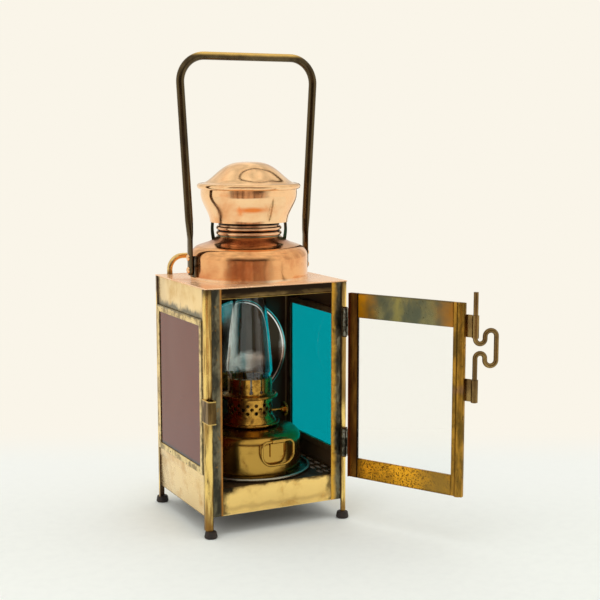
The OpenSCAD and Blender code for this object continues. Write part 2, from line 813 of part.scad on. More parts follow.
// Drop bolt: one rod bent into a finger loop between its two barrels.
module latch_bolt() {
    near = 2 * small_bend;
    mid = near + loop_end;
    color(old_brass) on_door() translate([bolt_x, bolt_y, 0]) rotate([0, 0, loop_heading]) union() {
        translate([0, 0, upper_bend_z]) cylinder(r = bolt_r, h = bolt_top - upper_bend_z);
        rod_bend(small_bend, upper_bend_z, small_bend, bolt_r, 180, 180);
        translate([near, 0, upper_bend_z]) cylinder(r = bolt_r, h = finger_top - upper_bend_z);
        rod_bend(mid, finger_top, loop_end, bolt_r, 0, 180);
        translate([far_leg, 0, finger_low]) cylinder(r = bolt_r, h = finger_h);
        rod_bend(mid, finger_low, loop_end, bolt_r, 180, 180);
        translate([near, 0, finger_low]) cylinder(r = bolt_r, h = lower_bend_z - finger_low);
        rod_bend(small_bend, lower_bend_z, small_bend, bolt_r, 0, 180);
        translate([0, 0, bolt_low]) cylinder(r = bolt_r, h = lower_bend_z - bolt_low);
    }
}

module lamp_tray() {
    color(old_brass) translate([0, 0, tray_z]) union() {
        cylinder(r = tray_r - tray_rim, h = sheet);
        translate([0, 0, tray_rim]) wire_ring(tray_r - tray_rim, tray_rim);
    }
}

module fuel_tank() {
    shoulder = arc([tank_r - tank_round, tank_shoulder_z], tank_round, 0, 80);
    color(brass) union() {
        turned_shell(concat([[tank_r, tank_z]], shoulder, [[tank_hole_r, collar_z]]), sheet);
        translate([0, 0, tank_z]) cylinder(r = tank_r - sheet / 2, h = sheet);
    }
}

module burner_collar() {
    color(brass) difference() {
        union() {
            translate([0, 0, collar_z + seat]) cylinder(r = collar_r - collar_t / 2, h = collar_t - seat);
            translate([0, 0, collar_z + collar_t / 2 + seat / 2])
                wire_ring(collar_r - collar_t / 2, (collar_t - seat) / 2);
        }
        slab([-tube_w / 2 - fit, -tube_t / 2 - fit, 0], [tube_w / 2 + fit, tube_t / 2 + fit, wide]);
    }
}

// Perforated burner basket, with staggered rows of air holes that leave room for the spindle's bore.
module burner_basket() {
    waist = 3;
    flare_h = 5;
    foot_r = basket_r + waist;
    foot_wall = 1.4 * sheet;
    row_count = 3;
    row_gap = 3;
    row_z = basket_z + flare_h + row_gap;
    pitch = 360 / air_count;
    bore_turn = asin(spindle_y / basket_r);
    color(brass) difference() {
        rotate_extrude() polygon([[foot_r, basket_z], [basket_r, basket_z + flare_h], [basket_r, basket_top],
            [basket_r - sheet, basket_top], [basket_r - sheet, basket_z + flare_h + sheet - foot_wall],
            [foot_r - foot_wall, basket_z]]);
        for (row = [0 : row_count - 1], i = [0 : air_count - 1 - row % 2])
            rotate([0, 0, bore_turn + (i + (row % 2 + 1) / 2) * pitch])
                translate([basket_r, 0, row_z + row * row_gap]) rotate([0, 90, 0])
                    cylinder(d = air_hole, h = 8 * sheet, center = true, $fn = 24);
        translate([0, spindle_y, spindle_z]) rotate([0, 90, 0]) cylinder(r = spindle_r + fit, h = wide);
    }
}

// Gallery that holds the chimney: a bead, and a ring of prongs parted by keyhole slots.
module gallery() {
    color(brass) difference() {
        union() {
            turned_shell([[basket_r, basket_top], [gallery_bead - 1, bead_height - 0.6],
                [gallery_bead - 1, bead_height + 0.6], [basket_r, prong_z], [basket_r, prong_top]], sheet);
            translate([0, 0, bead_height]) wire_ring(gallery_bead - 1.2, 1.2);
        }
        for (i = [0 : slot_count - 1]) rotate([0, 0, i * 360 / slot_count]) {
            slab([basket_r - 3, -slot_w / 2, prong_z + slot_eye + 0.6], [basket_r + 2, slot_w / 2, wide]);
            translate([basket_r, 0, prong_z + slot_eye + 0.6]) rotate([0, 90, 0])
                cylinder(r = slot_eye, h = 5, center = true, $fn = 24);
        }
    }
}

// Glass chimney: a foot inside the prongs, a slight swell and a long taper.
module chimney() {
    top_r = 12;
    swell_r = chimney_r + 1.3;
    swell_z = prong_top + 5;
    top_z = chimney_z + chimney_h;
    taper = [for (i = [0 : lid_steps]) let (s = i / lid_steps)
        [top_r + (swell_r - top_r) * (1 - pow(s, 1.3)), swell_z + (top_z - swell_z) * s]];
    foot = [[chimney_r, chimney_z], [chimney_r, prong_top + seat]];
    color(clear_pane) turned_shell(concat(foot, taper), chimney_t);
}

module wick_tube() {
    slit = spur_w + 0.8;
    color(old_brass) difference() {
        union() {
            slab([-tube_w / 2, -tube_t / 2, tube_low], [tube_w / 2, tube_t / 2, tube_top]);
            slab([bearing_x - bearing_wall, spindle_y - spindle_r - bearing_wall,
                    spindle_z - spindle_r - bearing_wall],
                [bearing_x + bearing_wall / 3, -tube_t / 2, spindle_z + spindle_r + bearing_wall]);
        }
        slab([tube_wall - tube_w / 2, tube_wall - tube_t / 2, 0],
            [tube_w / 2 - tube_wall, tube_t / 2 - tube_wall, wide]);
        for (x = [spur_shift - spur_x, spur_shift + spur_x])
            slab([x - slit / 2, -tube_t, spindle_z - spur_r], [x + slit / 2, 0, spindle_z + spur_r]);
        translate([bearing_x, spindle_y, spindle_z]) rotate([0, 90, 0])
            cylinder(r = spindle_r + fit, h = 4 * bearing_wall, center = true);
    }
}

module wick() {
    color(cotton) slab([-wick_w / 2, -wick_t / 2, wick_low], [wick_w / 2, wick_t / 2, wick_top]);
}

// Spindle with two toothed wheels that grip the wick.
module wick_spindle() {
    teeth = 10;
    tooth_h = 0.8;
    tooth_w = 0.8;
    color(old_brass) translate([0, spindle_y, spindle_z]) rotate([0, 90, 0]) union() {
        translate([0, 0, bearing_x - bearing_wall])
            cylinder(r = spindle_r, h = knob_x - bearing_x + bearing_wall);
        for (x = [spur_shift - spur_x, spur_shift + spur_x]) translate([0, 0, x - spur_w / 2]) {
            cylinder(r = spur_r - tooth_h, h = spur_w);
            for (i = [0 : teeth - 1]) rotate([0, 0, i * 360 / teeth])
                translate([0, -tooth_w / 2, 0]) cube([spur_r - 0.1, tooth_w, spur_w]);
        }
    }
}

module wick_knob() {
    flutes = 18;
    color(old_brass) translate([knob_x - knob_t, spindle_y, spindle_z]) rotate([0, 90, 0]) difference() {
        union() {
            translate([0, 0, 1]) cylinder(d = knob_dia, h = knob_t - 1);
            translate([0, 0, -1]) cylinder(r = spindle_r + 1.4, h = 2.2);
        }
        cylinder(r = spindle_r + 0.02, h = wide, center = true);
        for (i = [0 : flutes - 1]) rotate([0, 0, i * 360 / flutes])
            translate([knob_dia / 2 + 0.3, 0, 0]) cylinder(r = 0.7, h = wide, $fn = 16);
    }
}

module on_tank_front() {
    rotate([0, 0, ring_turn]) children();
}

// Strap soldered to the tank, rolled at its top into the ring's bearing.
module ring_keeper() {
    plate_h = 12;
    plate_t = 1;
    plate_y = -tank_r - seat;
    color(old_brass) on_tank_front() difference() {
        union() {
            translate([0, ring_axis_y, ring_axis_z]) rotate([0, 90, 0])
                cylinder(r = ring_tube_r, h = keeper_bar, center = true);
            slab([-keeper_bar / 2, ring_axis_y, ring_axis_z + ring_tube_r - plate_t],
                [keeper_bar / 2, plate_y, ring_axis_z + ring_tube_r]);
            slab([-keeper_bar / 2, plate_y - plate_t, ring_axis_z - plate_h],
                [keeper_bar / 2, plate_y, ring_axis_z + ring_tube_r]);
        }
        translate([0, ring_axis_y, ring_axis_z]) rotate([0, 90, 0])
            cylinder(r = ring_wire + fit, h = wide, center = true);
    }
}

// Pull ring of one wire: a straight bar in the bearing, tight upper corners and a round bow below.
module tank_ring() {
    bow_r = ring_h / 2 - ring_wire;
    corner_r = bow_r / 2;
    side_x = ring_w / 2 - ring_wire;
    color(brass) on_tank_front() translate([0, ring_axis_y, ring_axis_z]) union() {
        rotate([0, 90, 0]) cylinder(r = ring_wire, h = 2 * (side_x - corner_r), center = true);
        translate([0, 0, -2 * bow_r]) rotate([0, 90, 0])
            cylinder(r = ring_wire, h = 2 * (side_x - bow_r), center = true);
        both_sides() {
            rod_bend(side_x - corner_r, -corner_r, corner_r, ring_wire, 0, 90);
            translate([side_x, 0, -bow_r]) cylinder(r = ring_wire, h = bow_r - corner_r);
            rod_bend(side_x - bow_r, -bow_r, bow_r, ring_wire, -90, 90);
        }
    }
}

module reflector() {
    reach = asin(mirror_r / mirror_sphere);
    bowl = arc([0, mirror_sphere], mirror_sphere, -90, reach - 90);
    back = arc([0, mirror_sphere], mirror_sphere + sheet, -90, reach - 90);
    color(silver) translate([mirror_x, mirror_back - sheet, mirror_z]) rotate([90, 0, 0])
        rotate_extrude() polygon(concat(bowl, reversed(back)));
}

module reflector_bracket() {
    stem_r = 3;
    pad_r = 8;
    pad_t = 1.2;
    color(old_brass) translate([mirror_x, wall_y - sheet, mirror_z]) rotate([90, 0, 0]) union() {
        cylinder(r = stem_r, h = wall_y - sheet - mirror_back - seat);
        cylinder(r = pad_r, h = pad_t);
    }
}

front_left_post();
front_right_post();
back_left_post();
back_right_post();
rubber_feet();
left_door_stop();
right_door_stop();
front_sill();
front_lintel();
left_skirt();
right_skirt();
left_header();
right_header();
back_panel();
floor_plate();
left_glass_frame();
right_glass_frame();
red_glass();
blue_glass();
roof_plate();
dome();
vent_neck();
cap_straps();
cap_bowl();
cap_lid();
handle();
handle_lugs();
handle_rivets();
rear_loop();
latch_keeper();
post_hinge_leaves();
hinge_pins();
door_top_rail();
door_bottom_rail();
door_hinge_stile();
door_free_stile();
door_glass();
door_hinge_leaves();
latch_barrels();
latch_bolt();
lamp_tray();
fuel_tank();
burner_collar();
burner_basket();
gallery();
chimney();
wick_tube();
wick();
wick_spindle();
wick_knob();
ring_keeper();
tank_ring();
reflector();
reflector_bracket();
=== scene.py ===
# %% [markdown]
# # A railroad hand lantern, dressed around its solid model
# The lantern is a square brass box on four posts, with a red pane, a blue pane, a glazed door that
# stands open, a copper cap and an oil lamp inside. The solid model fixes every size. This lesson
# gives each piece a smooth surface and a finish with the wear that the real metal shows, and with some
# painted highlights, shadows and reflections.

# %% Load the frame
import json

import bmesh
import bpy
import numpy as np
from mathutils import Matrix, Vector

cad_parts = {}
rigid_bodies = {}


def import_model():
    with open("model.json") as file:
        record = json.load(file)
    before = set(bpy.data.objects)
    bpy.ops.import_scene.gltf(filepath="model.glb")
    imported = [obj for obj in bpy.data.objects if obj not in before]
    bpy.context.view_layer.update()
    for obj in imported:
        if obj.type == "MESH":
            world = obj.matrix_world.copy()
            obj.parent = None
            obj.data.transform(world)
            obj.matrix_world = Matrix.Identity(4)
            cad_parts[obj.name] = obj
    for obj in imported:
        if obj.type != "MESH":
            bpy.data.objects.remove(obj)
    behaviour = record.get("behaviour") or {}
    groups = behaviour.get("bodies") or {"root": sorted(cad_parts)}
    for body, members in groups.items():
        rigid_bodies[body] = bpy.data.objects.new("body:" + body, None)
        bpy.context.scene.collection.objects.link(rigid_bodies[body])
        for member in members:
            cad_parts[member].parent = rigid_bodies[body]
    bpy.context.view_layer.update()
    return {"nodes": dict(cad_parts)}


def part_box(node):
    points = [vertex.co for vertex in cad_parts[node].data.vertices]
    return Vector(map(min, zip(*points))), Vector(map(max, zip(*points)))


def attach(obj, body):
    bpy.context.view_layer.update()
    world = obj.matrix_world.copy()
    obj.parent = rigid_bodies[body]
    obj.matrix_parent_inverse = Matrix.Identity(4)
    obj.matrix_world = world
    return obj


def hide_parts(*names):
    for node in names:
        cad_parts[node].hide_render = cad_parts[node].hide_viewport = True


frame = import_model()
scene = bpy.context.scene
MM = 0.001

# %% [markdown]
# ## Camera
# The camera stands a little left of the door side and looks slightly down, as in the photograph.
# Its place and lens were worked out from the posts and rims, so nothing has to be fitted by eye.

# %% Place the camera
CAMERA_PLACE = Vector((-0.3824, -0.8463, 0.2917))
CAMERA_TARGET = Vector((0.0345, -0.01735, 0.16456))
CAMERA_LENS, CAMERA_SENSOR = 73.76, 36.0

camera_data = bpy.data.cameras.new("photo_camera")
camera_data.lens = CAMERA_LENS
camera_data.sensor_width = CAMERA_SENSOR
camera = bpy.data.objects.new("photo_camera", camera_data)
camera.location = CAMERA_PLACE
camera.rotation_euler = (CAMERA_TARGET - CAMERA_PLACE).to_track_quat("-Z", "Y").to_euler()
scene.collection.objects.link(camera)
scene.camera = camera
print("camera:", round((CAMERA_TARGET - CAMERA_PLACE).length, 3), "m from its target")

# %% [markdown]
# ## Surfaces as arrays
# Every new piece is a grid of points: rows along a profile, columns round an axis or along a path.
# The grid's quads follow from its row and column numbers alone, so one helper serves every piece.

# %% Grid helpers
def surface(points, wrap_rows=False, wrap_cols=False):
    """Vertices and quads of a grid of points; a wrapped direction joins its last line to its first."""
    rows, cols = points.shape[:2]
    row, col = np.meshgrid(np.arange(rows if wrap_rows else rows - 1),
                           np.arange(cols if wrap_cols else cols - 1), indexing="ij")
    next_row, next_col = (row + 1) % rows, (col + 1) % cols
    quads = np.stack([row * cols + col, next_row * cols + col,
                      next_row * cols + next_col, row * cols + next_col], -1)
    return points.reshape(-1, 3), quads.reshape(-1, 4)


def moved(shape, turn_deg=0.0, about=(0, 0, 0), shift=(0, 0, 0)):
    """Turns a shape about an upright axis, x' = x cos t - y sin t and y' = x sin t + y cos t, and shifts it."""
    vertices, quads = shape
    t = np.radians(turn_deg)
    spin = np.array([[np.cos(t), -np.sin(t), 0], [np.sin(t), np.cos(t), 0], [0, 0, 1]])
    return (vertices - about) @ spin.T + about + np.asarray(shift, float), quads


def laid(shape, order, signs=(1, 1, 1), shift=(0, 0, 0)):
    """Swaps a shape's axes, so that one made along Z lies along X or Y, and shifts it."""
    vertices, quads = shape
    return vertices[:, order] * np.asarray(signs, float) + np.asarray(shift, float), quads


# Points closer than MERGE become one, and edges shorter than SLIVER go, in metres.
MERGE, SLIVER = 2e-6, 1e-6


def make_piece(name, shapes, material, nodes, body="lantern", crease_deg=35.0):
    """One mesh object from several shapes, with shared points merged and its faces turned outwards."""
    starts = np.cumsum([0] + [len(vertices) for vertices, _ in shapes[:-1]])
    vertices = np.concatenate([vertices for vertices, _ in shapes])
    quads = np.concatenate([quads + start for (_, quads), start in zip(shapes, starts)])
    mesh = bpy.data.meshes.new(name)
    mesh.from_pydata(vertices.tolist(), [], quads.tolist())
    work = bmesh.new()
    work.from_mesh(mesh)
    bmesh.ops.remove_doubles(work, verts=work.verts, dist=MERGE)
    bmesh.ops.dissolve_degenerate(work, edges=work.edges, dist=SLIVER)
    bmesh.ops.recalc_face_normals(work, faces=work.faces)
    work.to_mesh(mesh)
    work.free()
    mesh.shade_smooth()
    mesh.set_sharp_from_angle(angle=np.radians(crease_deg))
    mesh.materials.append(material)
    piece = bpy.data.objects.new(name, mesh)
    scene.collection.objects.link(piece)
    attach(piece, body)
    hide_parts(*nodes)
    print("piece:", name, len(mesh.polygons), "faces")
    return piece


print("grid helpers: surface, moved, laid and make_piece")

# %% [markdown]
# ## Four ways to make a shape
# Spun copper and round lamp parts are profiles turned about an axis. Rods are circles carried along a
# path. Sheet strips are boxes with softened edges, or strips bent along a line, as a tinsmith makes them.

# %% Profile helpers
def arc(centre, radius, start_deg, end_deg, count=16):
    """Points of a circle: centre + radius (cos a, sin a), with a running between two angles."""
    a = np.radians(np.linspace(start_deg, end_deg, count))
    return np.asarray(centre, float) + radius * np.stack([np.cos(a), np.sin(a)], -1)


def mirrored(half, between=2):
    """Half an outline, a straight run across the middle, and the other half."""
    across = np.linspace(half[-1], half[-1] * (-1, 1), between)[1:-1]
    return np.concatenate([half, across, half[::-1] * (-1, 1)])


def swelling(start, end, count):
    """Points (r, z) from one to another, with r by the smooth step s s (3 - 2 s)."""
    s = np.linspace(0, 1, count)
    step = np.stack([s * s * (3 - 2 * s), s], -1)
    return start + (np.asarray(end) - start) * step


def walled(profile, wall):
    """Closed section of a sheet: the outer profile, and back along it one wall to the left of its direction."""
    along = np.gradient(profile, axis=0)
    along /= np.linalg.norm(along, axis=1, keepdims=True)
    inner = profile + wall * np.stack([-along[:, 1], along[:, 0]], -1)
    return np.concatenate([profile, inner[::-1]])


print("profile helpers: arc, mirrored, swelling and walled")

# %% Shape helpers
def lathe(profile, closed=True, turns=128):
    """Turns a profile of (r, z) about Z: x = r cos a, y = r sin a."""
    a = np.linspace(0, 2 * np.pi, turns, endpoint=False)
    radius, height = np.asarray(profile, float).T
    ring = np.stack([np.outer(radius, np.cos(a)), np.outer(radius, np.sin(a)),
                     np.outer(height, np.ones(turns))], -1)
    return surface(ring, wrap_rows=closed, wrap_cols=True)


def rod(path, flat_normal, width, depth=None, closed=False, around=24):
    """Carries an ellipse along a flat path: centre + width cos b (normal x tangent) + depth sin b normal."""
    path = np.asarray(path, float)
    ahead = np.roll(path, -1, 0) - np.roll(path, 1, 0) if closed else np.gradient(path, axis=0)
    tangent = ahead / np.linalg.norm(ahead, axis=1, keepdims=True)
    normal = np.asarray(flat_normal, float)
    side = np.cross(normal, tangent)
    b = np.linspace(0, 2 * np.pi, around, endpoint=False)
    width = np.broadcast_to(width, len(path))[:, None, None]
    depth = width if depth is None else np.broadcast_to(depth, len(path))[:, None, None]
    ring = (path[:, None] + width * np.cos(b)[None, :, None] * side[:, None]
            + depth * np.sin(b)[None, :, None] * normal)
    if not closed:
        ends = np.repeat(path[[0, -1], None], around, 1)
        ring = np.concatenate([ends[:1], ring, ends[1:]])
    return surface(ring, wrap_rows=closed, wrap_cols=True)


def soft_box(low, high, edge, steps=4):
    """Box with rounded edges: each corner's centre + edge times a unit sphere's normal, octant by octant."""
    low, high = np.asarray(low, float), np.asarray(high, float)
    quarter = np.linspace(0, np.pi / 2, steps)
    lat = np.concatenate([-quarter[::-1], quarter])
    lon = np.concatenate([quarter + k * np.pi / 2 for k in range(4)])
    lat_sign = np.repeat([-1, 1], steps)
    lon_mid = np.repeat((np.arange(4) + 0.5) * np.pi / 2, steps)
    normal = np.stack([np.outer(np.cos(lat), np.cos(lon)), np.outer(np.cos(lat), np.sin(lon)),
                       np.outer(np.sin(lat), np.ones_like(lon))], -1)
    corner = np.stack(np.broadcast_arrays(np.sign(np.cos(lon_mid))[None], np.sign(np.sin(lon_mid))[None],
                                          lat_sign[:, None]), -1)
    middle, half = (low + high) / 2, (high - low) / 2
    skin = middle + corner * (half - edge) + edge * normal
    poles = np.array([[0, 0, -1.0], [0, 0, 1.0]]) * half + middle
    caps = np.repeat(poles[:, None], len(lon), 1)
    return surface(np.concatenate([caps[:1], skin, caps[1:]]), wrap_cols=True)


def bent_strip(path, thick, low, high):
    """Strip of sheet that stands on a flat path: the path and its offset to the left, from low to high."""
    section = walled(np.asarray(path, float), thick)
    count = len(section) // 2
    near, far = section[:count], section[count:][::-1]
    rows = np.stack([np.insert(line, 2, z, axis=1)
                     for line, z in ((near, low), (near, high), (far, high), (far, low))])
    ends = [surface(np.stack([rows[[0, 1], k], rows[[3, 2], k]])) for k in (0, -1)]
    return [surface(rows, wrap_rows=True), *ends]


print("shapes: lathe, rod, soft_box and bent_strip")

# %% [markdown]
# ## Finishes from node groups
# Old brass and copper are one metal in several states: bright where hands rub it, dull where air
# reaches it, grey where solder ran. Small groups give those states as masks: clouds of tarnish, ragged
# bands along a seam, round stains, and the lines and dents that bend a reflection. The seam and round
# masks also place painted highlights, shadows and reflections, and one more marks the inner faces for painted shade.

# %% Node helpers
def tone(colour):
    """Linear colour of a display colour of 0 to 255: ((c / 255 + 0.055) / 1.055) ^ 2.4."""
    linear = ((np.array(colour) / 255 + 0.055) / 1.055) ** 2.4
    return (*linear.tolist(), 1.0)


def fill(tree, made, inputs):
    """Gives a node its inputs: one that is a socket is linked, any other is set."""
    for key, value in inputs.items():
        if isinstance(value, bpy.types.NodeSocket):
            tree.links.new(value, made.inputs[key])
        else:
            made.inputs[key].default_value = value


def node(tree, kind, inputs=None, **settings):
    """Adds a node with its settings and inputs."""
    made = tree.nodes.new(kind)
    for key, value in settings.items():
        setattr(made, key, value)
    fill(tree, made, inputs or {})
    return made


def object_place(tree):
    """Place on the piece, in metres."""
    return node(tree, "ShaderNodeTexCoord").outputs["Object"]


def math(tree, operation, first, second=0.0):
    """Output of a Math node."""
    return node(tree, "ShaderNodeMath", {0: first, 1: second}, operation=operation).outputs[0]


def vector(tree, operation, first, second=(0, 0, 0)):
    """Output of a Vector Math node: a number for a length or a dot product, and else a vector."""
    made = node(tree, "ShaderNodeVectorMath", {0: first, 1: second}, operation=operation)
    return made.outputs["Value" if operation in ("LENGTH", "DOT_PRODUCT") else "Vector"]


def noise(tree, place, scale, detail, **more):
    """Smooth noise of 0 to 1 about 0.5."""
    made = node(tree, "ShaderNodeTexNoise", {"Vector": place, "Scale": scale, "Detail": detail, **more})
    return made.outputs["Fac"]


def ramp(tree, value, low, high, to_low=0.0, to_high=1.0, kind="SMOOTHSTEP"):
    """Value carried from one range to another and held at its ends."""
    return node(tree, "ShaderNodeMapRange", {"Value": value, "From Min": low, "From Max": high, "To Min": to_low,
                                             "To Max": to_high}, interpolation_type=kind).outputs["Result"]


def blended(tree, mask, under, over):
    """Colour that goes from one to another with a mask; each may be a socket or a display colour."""
    ends = [value if isinstance(value, bpy.types.NodeSocket) else tone(value) for value in (under, over)]
    return node(tree, "ShaderNodeMix", {0: mask, 6: ends[0], 7: ends[1]}, data_type="RGBA").outputs[2]


def ragged_mask(tree, distance, centre, reach, ragged, where, scale):
    """1 where a distance is at its centre and 0 beyond its reach, with an edge made ragged by noise."""
    wander = math(tree, "MULTIPLY", math(tree, "SUBTRACT", noise(tree, where, scale, 4.0), 0.5), ragged)
    away = math(tree, "ABSOLUTE", math(tree, "SUBTRACT", math(tree, "ADD", distance, wander), centre))
    return ramp(tree, away, 0.0, reach, 1.0, 0.0)


FLOAT, VECTOR = "NodeSocketFloat", "NodeSocketVector"


def new_group(name, inputs, outputs):
    """Empty shader group with named sockets, whose kind follows from the value; returns tree, inputs and output."""
    tree = bpy.data.node_groups.new(name, "ShaderNodeTree")
    for socket, value in inputs.items():
        kind = VECTOR if isinstance(value, tuple) else FLOAT
        tree.interface.new_socket(socket, in_out="INPUT", socket_type=kind).default_value = value
    for socket, kind in outputs.items():
        tree.interface.new_socket(socket, in_out="OUTPUT", socket_type=kind)
    return tree, tree.nodes.new("NodeGroupInput").outputs, tree.nodes.new("NodeGroupOutput").inputs


print("node helpers ready")

# %% Node groups
# Tarnish: smoothstep of noise between two levels; Stretch makes streaks, Detail makes specks.
tree, given, out = new_group("tarnish_clouds", {"Stretch": (1, 1, 1), "Scale": 60.0, "Low": 0.45, "High": 0.65,
                                                "Detail": 6.0}, {"Mask": FLOAT})
tarnish_group = tree
CLOUD_ROUGH, CLOUD_SWIRL = 0.62, 0.25
spread = vector(tree, "MULTIPLY", object_place(tree), given["Stretch"])
cloud = noise(tree, spread, given["Scale"], given["Detail"], Roughness=CLOUD_ROUGH, Distortion=CLOUD_SWIRL)
tree.links.new(ramp(tree, cloud, given["Low"], given["High"]), out["Mask"])

# Seam: 1 on a plane across one axis and 0 beyond its reach.
tree, given, out = new_group("ragged_seam", {"Axis": (0, 0, 1), "Centre": 0.0, "Reach": 0.004, "Ragged": 0.004,
                                             "Scale": 150.0}, {"Mask": FLOAT})
seam_group = tree
where = object_place(tree)
place = vector(tree, "DOT_PRODUCT", where, given["Axis"])
mask = ragged_mask(tree, place, given["Centre"], given["Reach"], given["Ragged"], where, given["Scale"])
tree.links.new(mask, out["Mask"])

# Round mark, used for stains and for painted highlights and reflections: 1 at a distance Radius from a point and 0
# beyond its reach: a blob, or a ring when Radius is not 0.
ROUND_MARK_NOISE = 260.0
tree, given, out = new_group("round_stain_and_sheen", {"Centre": (0, 0, 0), "Stretch": (1, 1, 1), "Radius": 0.0,
                                             "Reach": 0.004, "Ragged": 0.0}, {"Mask": FLOAT})
stain_and_sheen_group = tree
where = object_place(tree)
offset = vector(tree, "MULTIPLY", vector(tree, "SUBTRACT", where, given["Centre"]), given["Stretch"])
away = vector(tree, "LENGTH", offset)
mask = ragged_mask(tree, away, given["Radius"], given["Reach"], given["Ragged"], where, ROUND_MARK_NOISE)
tree.links.new(mask, out["Mask"])

# Hand work: broad dents of the sheet and fine stretched polishing lines, as two heights.
tree, given, out = new_group("hand_work", {"Stretch": (1, 1, 1), "Dents": 45.0, "Lines": 900.0},
                             {"Dent": FLOAT, "Line": FLOAT})
hand_group = tree
where = object_place(tree)
spread = vector(tree, "MULTIPLY", where, given["Stretch"])
tree.links.new(noise(tree, where, given["Dents"], 1.0), out["Dent"])
tree.links.new(noise(tree, spread, given["Lines"], 3.0), out["Line"])

# Lining: 1 on faces that look towards the lantern's axis, where the product of normal and place is negative.
tree, given, out = new_group("inner_faces", {"Sharp": 0.02}, {"Mask": FLOAT})
lining_group = tree
coordinates = node(tree, "ShaderNodeTexCoord").outputs
outward = vector(tree, "NORMALIZE", vector(tree, "MULTIPLY", coordinates["Object"], (1, 1, 0)))
inside = math(tree, "MULTIPLY", vector(tree, "DOT_PRODUCT", coordinates["Normal"], outward), -1.0)
tree.links.new(ramp(tree, inside, 0.0, given["Sharp"], kind="LINEAR"), out["Mask"])
print("groups:", [group.name for group in bpy.data.node_groups])

# %% [markdown]
# ## Metals
# One recipe makes every metal: a bright colour, a dull one under clouds of tarnish, dark specks where
# the surface is pitted, and any number of seams: solder, soot or verdigris that has gathered, and painted highlights,
# shadows and reflections.

# %% Metal recipe
# The lining is painted shade: inner faces are coloured dark brown for the dim chamber.
LINING_SHADE, LINING_SHADE_MATT = (70, 46, 28), 0.8


def patches(scale, low, high, stretch=(1, 1, 1)):
    """Values of the tarnish group: patches per metre, and the noise levels between which they fade in."""
    return {"Scale": scale, "Low": low, "High": high, "Stretch": stretch}


FEW_SPECKS = patches(500, 0.72, 0.8)


def use_group(tree, group, **values):
    """Places a group in a material with its own values."""
    return node(tree, "ShaderNodeGroup", values, node_tree=group).outputs


def new_material(name):
    """Empty material, its tree and its shader."""
    material = bpy.data.materials.new(name)
    material.use_nodes = True
    return material, material.node_tree, material.node_tree.nodes["Principled BSDF"]


def bump(tree, height, distance, **below):
    """Normal bent by a height, over the one below it."""
    return node(tree, "ShaderNodeBump", {"Height": height, "Distance": distance, **below}).outputs["Normal"]


def with_seams(tree, colour, seams):
    """Colour under its seams, and their masks. A seam is (group, colour, amount, values for the group)."""
    masks = []
    for group, seam_colour, amount, values in seams:
        masks.append(math(tree, "MULTIPLY", use_group(tree, group, **values)["Mask"], amount))
        colour = blended(tree, masks[-1], colour, seam_colour)
    return colour, masks


def metal(name, bright, dull, speck, clouds, gloss, specks=FEW_SPECKS, seams=(), lines=(1, 1, 1), line_scale=900.0,
          dent_height=0.0008, line_height=0.00002, dent_scale=45.0, lining=0.0, matt=0.0):
    """Metal of two tones and specks. gloss is the roughness of the bright and of the dull parts, and
    lining is how strongly the inner faces are darkened with painted shade. Under that painted shade,
    and with a matt finish, the surface is less of a metal."""
    material, tree, skin = new_material(name)
    fill(tree, skin, {"Metallic": 1.0 - matt})
    cloud = use_group(tree, tarnish_group, **clouds)["Mask"]
    fleck = use_group(tree, tarnish_group, **specks)["Mask"]
    colour = blended(tree, fleck, blended(tree, cloud, bright, dull), speck)
    wear_and_marks = math(tree, "MAXIMUM", cloud, fleck)
    painted_lining = [(lining_group, LINING_SHADE, lining, {})] if lining else []
    colour, masks = with_seams(tree, colour, [*seams, *painted_lining])
    for mask in masks:
        wear_and_marks = math(tree, "MAXIMUM", wear_and_marks, mask)
    if lining:
        fill(tree, skin, {"Metallic": math(tree, "SUBTRACT", 1.0, math(tree, "MULTIPLY", masks[-1], LINING_SHADE_MATT))})
    hand = use_group(tree, hand_group, Stretch=lines, Lines=line_scale, Dents=dent_scale)
    dents = bump(tree, hand["Dent"], dent_height)
    fill(tree, skin, {"Base Color": colour, "Roughness": ramp(tree, wear_and_marks, 0.0, 1.0, *gloss, kind="LINEAR"),
                      "Normal": bump(tree, hand["Line"], line_height, Normal=dents)})
    return material


print("metal recipe ready")

# %% [markdown]
# ## Seams and stains
# Dirt on old metal gathers along edges and round joints, and painted highlights, shadows and reflections
# lie there too, so a mark is told by the plane or the point that it lies on, in millimetres. Seams of the open door
# are told on the shut one, where they are upright lines.

# %% Seams and stains
UP, ACROSS, INWARD = (0, 0, 1), (1, 0, 0), (0, 1, 0)
SOOT, SOLDER_GREY, VERDIGRIS = (52, 40, 26), (112, 112, 102), (92, 132, 112)


def edge(axis, centre, reach, ragged, colour=SOOT, amount=0.8):
    """Seam across an axis: its place, the width of its stain and how ragged it is, in millimetres."""
    return seam_group, colour, amount, {"Axis": axis, "Centre": centre * MM, "Reach": reach * MM,
                                        "Ragged": ragged * MM}


def both_edges(axis, centre, *rest, **more):
    """The same seam on both sides of the middle."""
    return [edge(axis, sign * centre, *rest, **more) for sign in (-1, 1)]


def spot(centre, reach, colour, amount=1.0, radius=0.0, stretch=(1, 1, 1), ragged=0.0):
    """Round mark about a point, for stains and for painted light, in millimetres; with a radius it is a ring."""
    return stain_and_sheen_group, colour, amount, {"Centre": tuple(value * MM for value in centre), "Stretch": stretch,
                                         "Radius": radius * MM, "Reach": reach * MM, "Ragged": ragged * MM}


HINGE = np.array([53.2, -54.2, 0.0]) * MM
DOOR_OPEN_DEG = 118.0
ALONG_DOOR = (float(np.cos(np.radians(DOOR_OPEN_DEG))), float(np.sin(np.radians(DOOR_OPEN_DEG))), 0.0)


def door_edge(x, reach, ragged, colour, amount=0.9):
    """Upright seam on the open door, at a place x in millimetres on the shut one."""
    return edge(ALONG_DOOR, float(np.dot(HINGE, ALONG_DOOR) - HINGE[0]) / MM + x, reach, ragged, colour, amount)


print("seams: edge, both_edges, spot and door_edge")
